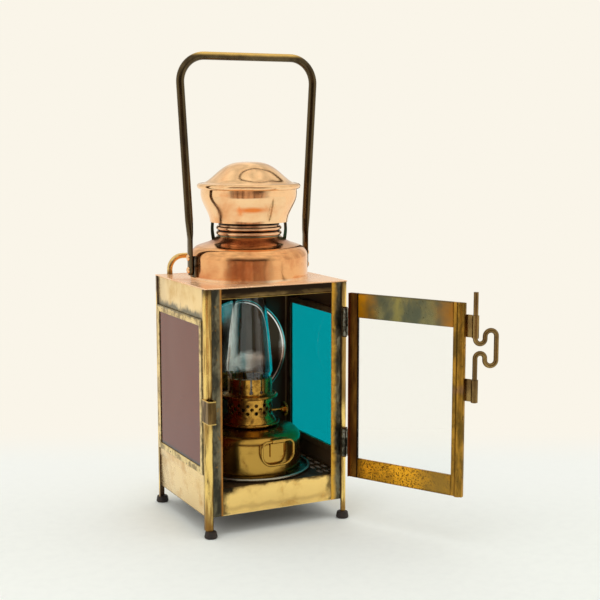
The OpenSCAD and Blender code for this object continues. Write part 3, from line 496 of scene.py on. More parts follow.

# %% [markdown]
# ## Copper of the cap
# The cap is spun copper, polished to a mirror, with lathe lines round it and verdigris in the joints. The neck
# is darker between its beads and has a painted shadow under the bowl. The roof is a plain sheet and less polished, so
# it scatters more light.

# %% Copper of the cap
AROUND = (0.05, 0.05, 1.0)
# Spun pieces get the painted shade of the lining on their inner faces.
SPUN = {"lines": AROUND, "line_scale": 1500.0, "dent_height": 0.0012, "line_height": 0.000012, "lining": 0.7}
copper = metal(
    "polished_copper", (255, 210, 160), (240, 168, 112), (176, 106, 66),
    patches(34, 0.44, 0.72), (0.12, 0.22), **SPUN,
    # The orange streak on the bowl is a painted reflection.
    seams=[spot((-12, -34, 234.8), 5.2, (240, 136, 66), 1.4, stretch=(0.3, 0.3, 1.6))])
dome_copper = metal(
    "dome_copper", (244, 182, 124), (222, 144, 92), (176, 106, 66),
    patches(34, 0.44, 0.72), (0.14, 0.24), **SPUN,
    # The pale line at the dome's foot is a painted highlight.
    seams=[edge(UP, 182.6, 2.6, 0.6, (255, 226, 190), 1.6),
           edge(UP, 211.2, 4.2, 1, (176, 108, 70), 0.9),
           spot((-24, -37, 191), 14, (214, 132, 80), 0.8, ragged=20),
           edge(UP, 214.2, 0.9, 1.2, VERDIGRIS, 1.0)])
neck_copper = metal(
    "neck_copper_painted_shadow", (252, 202, 158), (214, 148, 102), (70, 46, 30),
    patches(70, 0.44, 0.7), (0.18, 0.34), lines=AROUND,
    # The dark band above the upper bead is a painted shadow under the bowl.
    seams=[edge(UP, 226.2, 5, 1, (22, 15, 10), 4.0),
           edge(UP, 218.1, 0.8, 0.4, (26, 17, 11), 2.0),
           edge(UP, 213.4, 1.8, 0.8, (104, 124, 106), 2.0)])
roof_copper = metal(
    "roof_copper", (255, 208, 164), (234, 166, 116), (160, 108, 72),
    patches(26, 0.42, 0.8), (0.26, 0.42), dent_height=0.001, matt=0.5)
print("copper:", [finish.name for finish in (copper, dome_copper, neck_copper, roof_copper)])

# %% [markdown]
# ## Brass of the body
# The body is brass: bright on the posts, satin on the side sheets, and stained along every soldered edge. The
# inner faces carry painted shade for the dim chamber, so most of these finishes have a dark lining.

# %% Brass of the body
FINE_PITS = patches(420, 0.6, 0.72)
STREAKS = patches(190, 0.42, 0.6, (1.0, 1.0, 0.12))
post_brass = metal(
    "post_brass", (250, 214, 126), (170, 134, 74), (92, 74, 46), STREAKS,
    (0.2, 0.36), patches(230, 0.54, 0.68, (1.0, 1.0, 0.16)), lining=0.85,
    seams=[edge(UP, 181.5, 9, 12, (84, 70, 46), 0.9), edge(UP, 94, 12, 12, (120, 92, 50), 0.6),
           edge(UP, 8, 7, 12, (140, 98, 44), 0.75),
           *both_edges(ACROSS, 52.3, 1.1, 1.2, amount=0.9),
           *both_edges(INWARD, 45.8, 0.9, 1, amount=0.9)])
loop_brass = metal(
    "rear_loop_brass", (248, 214, 146), (206, 166, 98), (120, 92, 52),
    patches(60, 0.46, 0.74), (0.2, 0.34),
    seams=[edge(UP, 182.2, 4, 4, (104, 86, 54), 0.8)])
satin_brass = metal(
    "satin_brass", (252, 224, 168), (230, 194, 128), (150, 120, 74),
    patches(48, 0.45, 0.75), (0.28, 0.42), lining=0.97,
    seams=[edge(UP, 160.2, 5.5, 10, SOLDER_GREY, 0.9), edge(UP, 182.2, 1.6, 2, amount=0.7),
           # The dark bands at both ends of each header are painted shadows of the posts.
           *both_edges(INWARD, 47.8, 3.4, 4, (76, 72, 58), 0.9)])
back_brass = metal(
    "back_brass", (244, 214, 150), (216, 178, 112), (130, 98, 56),
    patches(34, 0.46, 0.78), (0.28, 0.42), lining=0.97,
    seams=[*both_edges(ACROSS, 52.3, 5, 6, (104, 86, 54), 0.8),
           edge(UP, 182.2, 4, 4, (104, 86, 54), 0.8), edge(UP, 14.9, 3, 4, (120, 88, 48), 0.8)])
skirt_brass = metal(
    "skirt_brass", (248, 218, 162), (220, 178, 116), (120, 88, 50),
    patches(60, 0.46, 0.74), (0.26, 0.4), lining=0.95,
    seams=[edge(UP, 14.9, 1.2, 1, (120, 88, 48), 0.8),
           edge(UP, 46.8, 2.2, 3, SOLDER_GREY, 0.6),
           *both_edges(INWARD, 47.8, 2.6, 3, (84, 74, 54), 0.85)])
sill_brass = metal(
    "sill_brass", (250, 212, 130), (214, 168, 88), (110, 78, 40),
    patches(55, 0.48, 0.74), (0.2, 0.34), lining=0.9,
    seams=[*both_edges(ACROSS, 44.6, 5.2, 12), edge(UP, 35.6, 2.8, 6, (76, 54, 32), 0.9),
           edge(UP, 19.6, 3, 4, (150, 106, 54), 0.3),
           spot((-41, -50, 34.5), 6, (48, 40, 28), 1.2, stretch=(0.5, 0, 1), ragged=4),
           edge(UP, 14.9, 1.4, 0.4, (252, 220, 146), 1.0)])
stop_brass = metal(
    "door_stop_brass", (126, 120, 96), (66, 64, 54), (150, 116, 64),
    patches(110, 0.36, 0.6, (1, 1, 0.35)),
    (0.32, 0.5), patches(240, 0.6, 0.72), dent_height=0.002, dent_scale=160.0, lining=0.9,
    seams=[edge(ACROSS, -44.6, 2, 1, (196, 134, 62), 0.95),
           edge(ACROSS, 45.2, 4.2, 3.5, (240, 184, 70), 0.95),
           *[spot((52.5, -50.2, z), 8.5, (70, 70, 62), 1.3, stretch=(1, 1, 0.5), ragged=6)
             for z in (60, 151.5)]])
lintel_brass = metal(
    "lintel_brass", (150, 124, 78), (84, 66, 42), (46, 36, 26),
    patches(120, 0.38, 0.62, (0.3, 1, 1)), (0.3, 0.46), FINE_PITS, lining=0.95,
    seams=[edge(UP, 173.5, 1.3, 1, (226, 184, 100), 0.95),
           edge(UP, 181.6, 7.8, 3, (48, 38, 28), 2.0),
           *both_edges(ACROSS, 46.2, 3, 5, (150, 128, 84), 0.6)])
frame_brass = metal(
    "pane_frame_brass", (240, 212, 146), (164, 142, 96), (78, 66, 44),
    patches(130, 0.42, 0.64), (0.24, 0.4), patches(420, 0.58, 0.7), lining=0.9,
    seams=[*both_edges(INWARD, 45.2, 1.1, 1, (60, 54, 40), 0.9),
           edge(UP, 159.2, 1.3, 2, SOLDER_GREY, 0.7)])
# Parts inside the chamber get a darker copy of brass: painted shade for the dim chamber.
chamber_shade_brass = metal(
    "chamber_brass_painted_shade", (84, 62, 36), (42, 30, 18), (24, 18, 12),
    patches(50, 0.35, 0.62), (0.34, 0.55), matt=0.6)
print("with the brass of the body:", len(bpy.data.materials), "finishes")

# %% [markdown]
# ## Metals of the door, latch and handle
# The door and its latch were never polished, so they are amber, olive and brown. The handle is dark, with a
# painted highlight along its top. The hinge leaves are grey with solder, the cap's straps green.

# %% Metals of the door, latch and handle
door_amber = metal(
    "door_amber_brass", (132, 124, 84), (100, 104, 84), (62, 50, 28),
    patches(60, 0.4, 0.64, (1, 1, 0.6)), (0.24, 0.42), FINE_PITS,
    seams=[door_edge(42, 22, 14, (240, 164, 28), 1.1), door_edge(-42, 22, 14, (186, 124, 42)),
           door_edge(6, 6, 10, (176, 162, 86), 0.5),
           edge(UP, 174.3, 1.6, 2, (96, 84, 54), 0.8)])
door_olive = metal(
    "door_olive_brass", (184, 136, 52), (122, 94, 40), (72, 54, 26),
    patches(130, 0.38, 0.6, (1, 1, 0.35)), (0.28, 0.46), FINE_PITS,
    seams=[edge(UP, 112, 5, 12, (150, 108, 84), 0.5)])
door_brown = metal(
    "door_brown_brass", (112, 74, 26), (78, 46, 18), (40, 28, 14),
    patches(90, 0.38, 0.6, (1, 1, 0.3)), (0.26, 0.44),
    seams=[door_edge(39.6, 1.8, 0.6, (22, 16, 8), 1.2), door_edge(48, 3, 2, (132, 58, 24), 0.8)])
door_gold = metal(
    "door_gold_brass", (240, 172, 44), (196, 140, 40), (108, 72, 24),
    patches(60, 0.44, 0.66), (0.26, 0.42), patches(760, 0.51, 0.6),
    seams=[door_edge(-30, 30, 20, (150, 118, 56), 0.9), door_edge(40.5, 9, 6, (120, 88, 34), 0.8),
           edge(UP, 34.7, 2.2, 2, (96, 70, 26), 0.7)])
latch_bronze = metal(
    "latch_bronze", (150, 122, 74), (116, 92, 58), (70, 54, 34),
    patches(110, 0.4, 0.66, (1, 1, 0.35)), (0.22, 0.36))
handle_bronze = metal(
    "handle_bronze", (96, 82, 58), (70, 58, 42), (206, 176, 116),
    patches(70, 0.4, 0.7, (1, 1, 0.3)),
    (0.2, 0.32), patches(260, 0.72, 0.76, (1, 1, 0.4)),
    # The bright band along the top of the grip is a painted highlight.
    seams=[edge(UP, 351.5, 5.5, 1.2, (240, 200, 116), 2.5)])
solder = metal(
    "soldered_sheet", (140, 138, 124), (72, 70, 60), (44, 40, 32),
    patches(150, 0.4, 0.62), (0.34, 0.54), FINE_PITS, dent_height=0.0016, dent_scale=200.0)
strap_metal = metal(
    "strap_verdigris", (84, 74, 52), (58, 70, 56), (36, 30, 22),
    patches(120, 0.4, 0.6), (0.34, 0.6),
    seams=[spot((24.8, -11.6, 215.5), 5, (70, 122, 98), 1.4, ragged=4)])
keeper_brass = metal(
    "keeper_brass", (140, 112, 66), (92, 72, 42), (52, 40, 24), STREAKS, (0.26, 0.42), FINE_PITS,
    # The bright lines along the keeper's top and bottom edges are painted highlights.
    seams=[edge(UP, z, 1.2, 0.6, (240, 204, 120), 0.95) for z in (102.3, 85.3)])
print("with the door and latch:", len(bpy.data.materials), "finishes")

# %% [markdown]
# ## Metals of the lamp
# The lamp is turned brass with fine lines round it. The reflector is a silvered dish, smooth enough to mirror
# the chamber: one side has a painted dark reflection, and its rim has painted reflections, a pale ring and a
# blue-green one.

# %% Metals of the lamp
lamp_brass = metal(
    "lamp_brass", (190, 150, 70), (132, 96, 40), (70, 50, 22),
    patches(45, 0.46, 0.72), (0.22, 0.36), lines=AROUND, line_scale=1200.0)
burner_brass = metal(
    "burner_brass", (200, 152, 66), (112, 78, 34), (50, 38, 20),
    patches(120, 0.42, 0.66), (0.2, 0.4))
tray_brass = metal(
    "tray_brass", (168, 158, 134), (114, 108, 92), (54, 48, 40),
    patches(60, 0.4, 0.62), (0.22, 0.4), lines=AROUND,
    # The pale line on top of the rolled rim is a painted highlight.
    seams=[edge(UP, 36.8, 0.7, 0.2, (196, 198, 188), 1.2)])
DISH = (1.5, 0, 121.5)
IN_PLANE = (1, 0, 1)
SILVER, DISH_DARK_REFLECTION = (212, 215, 210), (52, 47, 38)
mirror = metal(
    "silvered_dish", SILVER, (158, 156, 146), (110, 104, 90),
    patches(60, 0.5, 0.8), (0.05, 0.16), patches(400, 0.7, 0.78),
    dent_height=0.0003,
    # Painted reflections: the dark band stands for the dim chamber, the pale ring for light on the rim, and the
    # blue-green ring for the blue pane.
    seams=[edge(ACROSS, 19.5, 27.5, 4, DISH_DARK_REFLECTION, 3.0),
           spot((12, 0, 111.5), 10, SILVER, 2.2, stretch=(0.45, 0, 1), ragged=6),
           spot(DISH, 0.6, (246, 248, 246), 1.6, 38.2, IN_PLANE),
           spot(DISH, 0.8, (60, 190, 196), 1.5, 40.2, IN_PLANE)])
print("metals:", len(bpy.data.materials))

# %% [markdown]
# ## Glass, rubber and cotton
# Coloured glass tints the light that goes through it, so the lamp inside is red on one side and blue on
# the other. A light path test lets shadow rays pass a pane as tinted light, which keeps the render clean.

# %% Glass, rubber and cotton
GLASS_IOR, RIPPLE, RIPPLES, GRAIN = 1.48, 0.0004, 30.0, 2200.0


def mixed(tree, mask, under, over):
    """Shader that goes from one to another with a mask."""
    return node(tree, "ShaderNodeMixShader", {0: mask, 1: under, 2: over}).outputs[0]


def glass(name, tint, shade_tint, rough, smear, clear=1.0, shine=0.5, rims=()):
    """Glass of one tint with faint smears. Light that only casts a shadow passes it as tinted light.
    rims are seams of painted shade where the glass meets its frame."""
    material, tree, skin = new_material(name)
    film = use_group(tree, tarnish_group, **patches(30, 0.5, 0.8))["Mask"]
    fill(tree, skin, {"Base Color": tone(tint), "IOR": GLASS_IOR, "Transmission Weight": clear,
                      "Specular IOR Level": shine, "Roughness": ramp(tree, film, 0.0, 1.0, rough, smear, "LINEAR"),
                      "Normal": bump(tree, use_group(tree, hand_group, Dents=RIPPLES)["Dent"], RIPPLE)})
    if rims:
        fill(tree, skin, {"Base Color": with_seams(tree, tint, rims)[0]})
    passing = node(tree, "ShaderNodeBsdfTransparent", {"Color": tone(shade_tint)}).outputs[0]
    in_shadow = node(tree, "ShaderNodeLightPath").outputs["Is Shadow Ray"]
    fill(tree, tree.nodes["Material Output"], {"Surface": mixed(tree, in_shadow, skin.outputs[0], passing)})
    return material


def plain(name, colour, second, scale, rough, grain_height):
    """Matt stuff of two tones with a fine grain."""
    material, tree, skin = new_material(name)
    cloud = use_group(tree, tarnish_group, **patches(scale, 0.4, 0.65))["Mask"]
    grain = use_group(tree, hand_group, Lines=GRAIN)["Line"]
    fill(tree, skin, {"Base Color": blended(tree, cloud, colour, second), "Roughness": rough,
                      "Normal": bump(tree, grain, grain_height)})
    return material


# The red pane's rims are painted shade along its back and bottom edges, by the frame.
RED_RIM_SHADE = (40, 8, 6)
red_glass = glass("red_pane_glass", (120, 40, 2), (190, 40, 40), 0.06, 0.1, clear=0.3,
                  rims=[edge(INWARD, 41.4, 3.4, 0, RED_RIM_SHADE, 1.5), edge(UP, 50.8, 3.4, 0, RED_RIM_SHADE, 1.5)])
blue_glass = glass("blue_pane_glass", (0, 164, 180), (20, 170, 190), 0.02, 0.04, shine=0.2)
clear_glass = glass("clear_glass", (250, 252, 252), (240, 244, 244), 0.0, 0.02)
rubber = plain("foot_rubber", (44, 32, 28), (24, 20, 18), 300.0, 0.62, 0.0002)
cotton = plain("wick_cotton", (226, 218, 196), (150, 130, 100), 260.0, 0.9, 0.0004)
print("materials:", len(bpy.data.materials))

# %% [markdown]
# ## Posts, feet and side sheets
# Each corner post is one strip of brass rolled to a quarter round, which runs down as a leg into a rubber
# foot. Flat sheets are boxes whose edges are eased, because a cut edge that catches no light looks like paper.

# %% Posts and feet
SHEET = 0.8 * MM
EDGE = 0.25 * MM
POST_LEG, POST_ROUND = 5.2 * MM, 3.0 * MM


def span(node_name):
    """Lowest and highest corner of a CAD node, as arrays."""
    low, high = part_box(node_name)
    return np.array(low), np.array(high)


post_path = np.concatenate([[[0, -POST_LEG]], arc((-POST_ROUND, -POST_ROUND), POST_ROUND, 0, 90),
                            [[-POST_LEG, 0]]])
for node_name, side, front in (("front_left_post", -1, -1), ("front_right_post", 1, -1),
                               ("back_left_post", -1, 1), ("back_right_post", 1, 1)):
    low, high = span(node_name)
    corner = (high[0] if side > 0 else low[0], high[1] if front > 0 else low[1], 0)
    strip = bent_strip(post_path, SHEET, low[2], high[2])
    make_piece("rolled_" + node_name, [(v * (side, front, 1) + corner, q) for v, q in strip],
               post_brass, [node_name])

low, high = span("rubber_feet")
foot_r, foot_ease, foot_taper = np.array([4.8, 1.2, 0.5]) * MM
foot_h = high[2] - low[2]
foot_profile = np.concatenate([
    [[0, 0]], arc((foot_r - foot_ease, foot_ease), foot_ease, -90, 0, 6),
    arc((foot_r - foot_taper - foot_ease, foot_h - foot_ease), foot_ease, 0, 90, 6), [[0, foot_h]]])
feet = [moved(lathe(foot_profile, closed=False, turns=40), shift=(x, y, low[2]))
        for x in (low[0] + foot_r, high[0] - foot_r) for y in (low[1] + foot_r, high[1] - foot_r)]
make_piece("turned_feet", feet, rubber, ["rubber_feet"])

# %% Flat sheets
FLAT_SHEETS = {
    "left_door_stop": stop_brass, "right_door_stop": stop_brass, "front_sill": sill_brass,
    "left_header": satin_brass, "right_header": satin_brass, "back_panel": back_brass,
}
for node_name, finish in FLAT_SHEETS.items():
    make_piece("sheet_" + node_name, [soft_box(*span(node_name), EDGE)], finish, [node_name])

# Each skirt is folded over along its top, under the pane's frame.
FOLD_LOW, FOLD_PROUD, FOLD_HALF, FOLD_GAP, FOLD_EASE = np.array([40, 0.4, 45.6, 0.1, 0.15]) * MM
for node_name, side in (("left_skirt", -1), ("right_skirt", 1)):
    low, high = span(node_name)
    face = high[0] if side > 0 else low[0]
    near, far = sorted((face - side * EDGE, face + side * FOLD_PROUD))
    fold = soft_box((near, -FOLD_HALF, FOLD_LOW), (far, FOLD_HALF, high[2] - FOLD_GAP), FOLD_EASE)
    make_piece("folded_" + node_name, [soft_box(low, high, EDGE), fold], skirt_brass, [node_name])

low, high = span("front_lintel")
HEM, HEM_EASE = 1.4 * MM, 0.4 * MM
lintel_front = (high[0], low[1] + SHEET, high[2])
make_piece("hemmed_lintel", [soft_box(low, lintel_front, EDGE),
                             soft_box(low, (high[0], high[1], low[2] + HEM), HEM_EASE)],
           lintel_brass, ["front_lintel"])
print("sheets:", len(FLAT_SHEETS) + 3)

# %% [markdown]
# ## Pane frames
# A folded strip runs round each pane and is mitred at the corners. Its section, a strip with rounded
# front edges and a groove for the glass, is carried round a rectangle: each section point (d, h) makes a
# ring of four corners, d in from the outer edge and h out from the back.

# %% Pane frames
def mitred(section, half_y, low_z, high_z, back_x, side):
    """Carries a section round a rectangle: corners at y = +-(half_y - d) and z = low + d or high - d."""
    inset, height = np.asarray(section, float).T
    y = (half_y - inset)[:, None] * np.array([-1, 1, 1, -1])
    z = np.stack([low_z + inset, low_z + inset, high_z - inset, high_z - inset], 1)
    x = np.repeat((back_x + side * height)[:, None], 4, 1)
    return surface(np.stack([x, y, z], -1), wrap_rows=True, wrap_cols=True)


STRIP, FRAME_DEEP, FRAME_EASE = np.array([5, 3.4, 0.9]) * MM
GROOVE_LOW, GROOVE_HIGH, GROOVE_IN = np.array([0.7, 2.7, 2]) * MM
frame_section = np.concatenate([
    [[0, 0]], arc((FRAME_EASE, FRAME_DEEP - FRAME_EASE), FRAME_EASE, 180, 90, 6),
    arc((STRIP - FRAME_EASE / 2, FRAME_DEEP - FRAME_EASE / 2), FRAME_EASE / 2, 90, 0, 5),
    [[STRIP, GROOVE_HIGH], [GROOVE_IN, GROOVE_HIGH], [GROOVE_IN, GROOVE_LOW], [STRIP, GROOVE_LOW], [STRIP, 0]]])
for node_name, side in (("left_glass_frame", -1), ("right_glass_frame", 1)):
    low, high = span(node_name)
    back = low[0] if side > 0 else high[0]
    strips = mitred(frame_section, high[1], low[2], high[2], back, side)
    make_piece("mitred_" + node_name, [strips], frame_brass, [node_name])

# %% [markdown]
# ## Copper roof and cap
# The roof is a plate with a round flue hole. The dome, neck, bowl and lid are spun on a lathe, so each is a
# profile turned about the axis: straight walls, arcs, and curves with a formula of their own. The dome runs
# up to the neck in a throat, the quadratic curve (1 - k)^2 A + 2 k (1 - k) B + k^2 C of three points.

# %% Roof plate
low, high = span("roof_plate")
FLUE_R, ROOF_EASE, ROOF_RAYS = 34 * MM, 0.3 * MM, 96
half_x, half_y = high[0], high[1]
turn = np.sort(np.concatenate([np.linspace(-np.pi, np.pi, ROOF_RAYS, endpoint=False),
                               np.arctan2([half_y, half_y, -half_y, -half_y], [half_x, -half_x, -half_x, half_x])]))
ray = np.stack([np.cos(turn), np.sin(turn)], -1)
edge_ray = ray / np.max(np.abs(ray) / (half_x, half_y), axis=1, keepdims=True)
inset_ray = edge_ray * (1 - ROOF_EASE / half_y)
roof_rows = [(ray * FLUE_R, low[2]), (inset_ray, low[2]), (edge_ray, low[2] + ROOF_EASE),
             (edge_ray, high[2] - ROOF_EASE), (inset_ray, high[2]), (ray * FLUE_R, high[2])]
roof_grid = np.stack([np.insert(line, 2, z, axis=1) for line, z in roof_rows])
make_piece("cut_roof", [surface(roof_grid, wrap_rows=True, wrap_cols=True)], roof_copper, ["roof_plate"])

# %% Dome
low, high = span("dome")
DOME_WALL, WALL_END, DOME_ROUND, NECK_R = np.array([16.4, 14.4, 9, 23]) * MM
DOME_ARC = 72
dome_r, dome_foot, dome_top = high[0], low[2], high[2]
dome_profile = np.concatenate([
    np.linspace((dome_r, dome_foot), (dome_r, dome_foot + WALL_END), 4),
    arc((dome_r - DOME_ROUND, dome_foot + DOME_WALL), DOME_ROUND, 0, DOME_ARC, 20)])
THROAT_W, THROAT_RISE, THROAT_BLEND = np.array([5, 2.4, 4]) * MM
slope_top = np.array([NECK_R + SHEET / 2, dome_top - THROAT_RISE])
slope_step = np.array([1.0, -1 / np.tan(np.radians(DOME_ARC))])
corner = slope_top + slope_step * (THROAT_W - SHEET / 2)
throat_start, throat_end = corner + slope_step * THROAT_BLEND, np.array([NECK_R + SHEET, dome_top])
k = np.linspace(0, 1, 12)[:, None]
throat = (1 - k) ** 2 * throat_start + 2 * k * (1 - k) * corner + k ** 2 * throat_end
make_piece("spun_dome", [lathe(walled(np.concatenate([dome_profile, throat]), SHEET))], dome_copper, ["dome"])

# %% Vent neck
low, high = span("vent_neck")
BEAD_R, BEAD_OUT = 1.5 * MM, 0.3 * MM
bead_z = slope_top[1] + np.array([4.5, 8.3]) * MM
bead_turn = np.degrees(np.arccos(-BEAD_OUT / BEAD_R))
neck_profile = np.concatenate([
    [[NECK_R, low[2]]],
    *[arc((NECK_R + BEAD_OUT, z), BEAD_R, -bead_turn, bead_turn) for z in bead_z],
    [[NECK_R, high[2]], [NECK_R - SHEET, high[2]], [NECK_R - SHEET, low[2]]]])
make_piece("beaded_neck", [lathe(neck_profile)], neck_copper, ["vent_neck"])

# %% Bowl and lid
# The bowl swells, then stands straight under the lid.
low, high = span("cap_bowl")
BOWL_LOW_R, BOWL_COLLAR = 29.4 * MM, 3.5 * MM
bowl_profile = np.concatenate([swelling((BOWL_LOW_R, low[2]), (high[0], high[2] - BOWL_COLLAR), 28),
                               [[high[0], high[2] - BOWL_COLLAR / 2], [high[0], high[2]]]])
make_piece("swelling_bowl", [lathe(walled(bowl_profile, SHEET))], copper, ["cap_bowl"])

# The lid is a bell: half its height times 1 + cos(pi (r / R) ^ 1.6), closed by a rolled rim.
low, high = span("cap_lid")
RIM_R, LID_RISE, LID_POWER = 2.2 * MM, 16.2 * MM, 1.6
lid_r = high[0] - RIM_R
r = np.linspace(0, lid_r, 40)
bell = np.stack([r, high[2] - LID_RISE / 2 * (1 - np.cos(np.pi * (r / lid_r) ** LID_POWER))], -1)
lid_section = np.concatenate([bell, (bell - (0, SHEET))[::-1]])
rim_section = arc((lid_r, low[2] + RIM_R), RIM_R, 0, 360, 29)[:-1]
make_piece("belled_lid", [lathe(lid_section, closed=False), lathe(rim_section)], copper, ["cap_lid"])
print("cap: dome", round(dome_top, 4), "lid top", round(float(high[2]), 4))

# %% [markdown]
# ## Handle and rear loop
# The handle is one rod whose ends are hammered flat and riveted to lugs on the dome. Its path lies in one
# plane, so a circle carried along it needs no twist, and the section turns into a flat bar near each end.

# %% Handle
low, high = span("handle")
ROD_R, BEND_R, LEG_LEAN, LUG_T, LUG_GAP, LUG_EASE = np.array([3, 19, 6.2, 2, 0.06, 0.3]) * MM
TONGUE_HALF_W, TONGUE_HALF_T, TIP_END, TONGUE_TOP, LEG_FOOT, FLAT_TOP = np.array([4.25, 1.5, 6, 213, 217, 221]) * MM
LEAN, TIP_LEAST = np.radians(3.21), 0.02
handle_x, grip_z, tongue_z = dome_r + LUG_T + TONGUE_HALF_T, high[2] - ROD_R, low[2]
bend_centre = np.array([handle_x + LEG_LEAN - BEND_R / np.cos(LEAN), grip_z - BEND_R])
bend = arc(bend_centre, BEND_R, -np.degrees(LEAN), 90, 20)
tip = TONGUE_HALF_W * (1 - np.cos(np.linspace(0, np.pi / 2, 8)))
tongue_rise = np.concatenate([tongue_z + tip, np.linspace(tongue_z + TIP_END, TONGUE_TOP, 4)])
tongue = np.insert(tongue_rise[:, None], 0, handle_x, axis=1)
leg = np.linspace((handle_x, LEG_FOOT), bend[0], 12)
half = np.concatenate([tongue, leg[:-1], bend])
outline = mirrored(half, 14)
handle_path = np.insert(outline, 1, 0, axis=1)
flat = np.clip((FLAT_TOP - outline[:, 1]) / (FLAT_TOP - TONGUE_TOP), 0, 1)
past_tip = np.clip(1 - (outline[:, 1] - tongue_z) / TONGUE_HALF_W, 0, 1)
round_end = np.sqrt(np.clip(1 - past_tip ** 2, TIP_LEAST, 1))
half_t = ROD_R + (TONGUE_HALF_T - ROD_R) * flat
half_w = (ROD_R + (TONGUE_HALF_W - ROD_R) * flat) * round_end
make_piece("bent_handle", [rod(handle_path, (0, 1, 0), half_t, half_w)], handle_bronze, ["handle"], crease_deg=50)

low, high = span("handle_lugs")
lug_inner = dome_r + LUG_GAP
lugs = [soft_box((lug_inner, low[1], low[2]), high, LUG_EASE),
        soft_box(low, (-lug_inner, high[1], high[2]), LUG_EASE)]
make_piece("handle_lug_plates", lugs, solder, ["handle_lugs"])

RIVET_HEAD, RIVET_RISE, RIVET_R, RIVET_LEN = np.array([2.4, 1.4, 1.6, 6]) * MM
low, high = span("handle_rivets")
rivet_z = tongue_z + np.array([4.0, 13.2]) * MM
dome_head = arc((0, 0), 1.0, 0, 90, 8) * (RIVET_HEAD, RIVET_RISE)
rivet_profile = np.concatenate([[[0, -RIVET_LEN], [RIVET_R, -RIVET_LEN], [RIVET_R, 0]], dome_head])
rivet = lathe(rivet_profile, closed=False, turns=32)
rivets = [laid(rivet, [2, 1, 0], (side, 1, 1), (side * (high[0] - RIVET_RISE), 0, z))
          for side in (-1, 1) for z in rivet_z]
make_piece("round_rivets", rivets, copper, ["handle_rivets"])

# %% Rear loop
low, high = span("rear_loop")
LOOP_R, LOOP_BEND = 2.15 * MM, 10.5 * MM
loop_x, loop_z, loop_y = high[0] - LOOP_R, high[2] - LOOP_R, (low[1] + high[1]) / 2
corner = arc((loop_x - LOOP_BEND, loop_z - LOOP_BEND), LOOP_BEND, 0, 90, 14)
half = np.concatenate([np.linspace((loop_x, low[2]), corner[0], 4)[:-1], corner])
loop_path = np.insert(mirrored(half, 8), 1, loop_y, axis=1)
make_piece("bent_rear_loop", [rod(loop_path, (0, 1, 0), LOOP_R)], loop_brass, ["rear_loop"], crease_deg=50)
print("handle: grip at", round(grip_z, 4), "m, loop top at", round(float(high[2]), 4), "m")

# %% [markdown]
# ## Keeper and hinges
# The keeper is a strap bent round the front left post, with room for the bolt. It is a strip that follows
# a path of three legs and two small bends. The hinges keep their solids and get a soldered finish.

# %% Keeper
low, high = span("latch_keeper")
KEEPER_BEND = 1.2 * MM
left, right, front = low[0], high[0], low[1]
KEEPER_LAP_Y, POST_FACE_Y = -46 * MM, -51 * MM
keeper_path = np.concatenate([
    [[left, KEEPER_LAP_Y]], arc((left + KEEPER_BEND, front + KEEPER_BEND), KEEPER_BEND, 180, 270, 8),
    arc((right - KEEPER_BEND, front + KEEPER_BEND), KEEPER_BEND, 270, 360, 8), [[right, POST_FACE_Y]]])
make_piece("bent_keeper", bent_strip(keeper_path, SHEET, low[2], high[2]), keeper_brass, ["latch_keeper"])

# %% [markdown]
# ## Door
# The door is drawn shut, as it was made, and every shape is then turned about the hinge to where it stands
# open. Rails and stiles are eased bars; the free stile carries a half-round rib along its edge.

# %% Door frame
DOOR_HALF, FREE_STILE, HINGE_STILE = 47.85 * MM, 9 * MM, 8 * MM
DOOR_LOW, DOOR_HIGH = (float(v[2]) for v in span("door_free_stile"))
TOP_RAIL, BOTTOM_RAIL = 18 * MM, 15 * MM
FACE_OUT, FACE_IN, FLANGE_IN = -54.5 * MM, -51.5 * MM, -50.5 * MM
BAR_EASE = 0.5 * MM


def on_door(shapes):
    """Turns shapes drawn on the shut door to where the door stands open."""
    return [moved(shape, DOOR_OPEN_DEG, about=HINGE) for shape in shapes]


def bar(x, z):
    """Eased bar of the shut door, between two places across and two heights."""
    return soft_box((x[0], FACE_OUT, z[0]), (x[1], FACE_IN, z[1]), BAR_EASE)


opening_x = (-DOOR_HALF + FREE_STILE, DOOR_HALF - HINGE_STILE)
opening_z = (DOOR_LOW + BOTTOM_RAIL, DOOR_HIGH - TOP_RAIL)
top_bar, low_bar = bar(opening_x, (opening_z[1], DOOR_HIGH)), bar(opening_x, (DOOR_LOW, opening_z[0]))
make_piece("eased_top_rail", on_door([top_bar]), door_amber, ["door_top_rail"], "door")
make_piece("eased_bottom_rail", on_door([low_bar]), door_gold, ["door_bottom_rail"], "door")

hinge_bar = bar((opening_x[1], DOOR_HALF), (DOOR_LOW, DOOR_HIGH))
flange = soft_box((DOOR_HALF - SHEET, FACE_IN - EDGE, DOOR_LOW), (DOOR_HALF, FLANGE_IN, DOOR_HIGH), EDGE)
make_piece("flanged_hinge_stile", on_door([hinge_bar, flange]), door_brown, ["door_hinge_stile"], "door")

RIB_R, RIB_X = 3 * MM, -DOOR_HALF + 4 * MM
rib_reach = np.degrees(np.arccos((FACE_IN - FLANGE_IN + RIB_R) / RIB_R))
rib_line = arc((RIB_X, FLANGE_IN - RIB_R), RIB_R, 90 - rib_reach, 90 + rib_reach, 14)
rib_rows = np.stack([np.insert(rib_line, 2, z, axis=1) for z in (DOOR_LOW, DOOR_HIGH)])
rib_back = np.linspace(rib_rows[:, -1], rib_rows[:, 0], 14, axis=1)
rib_ends = [surface(np.stack([rib_rows[k], rib_back[k][::-1]])) for k in (0, 1)]
free_bar = bar((-DOOR_HALF, opening_x[0]), (DOOR_LOW, DOOR_HIGH))
rib = [surface(rib_rows), surface(rib_back), *rib_ends]
make_piece("ribbed_free_stile", on_door([free_bar, *rib]), door_olive, ["door_free_stile"], "door")

# %% [markdown]
# ## Latch
# A drop bolt slides in two barrels rolled from sheet. It is one rod, bent into a finger loop between
# them, so its path is a chain of straight runs and half circles in one plane.

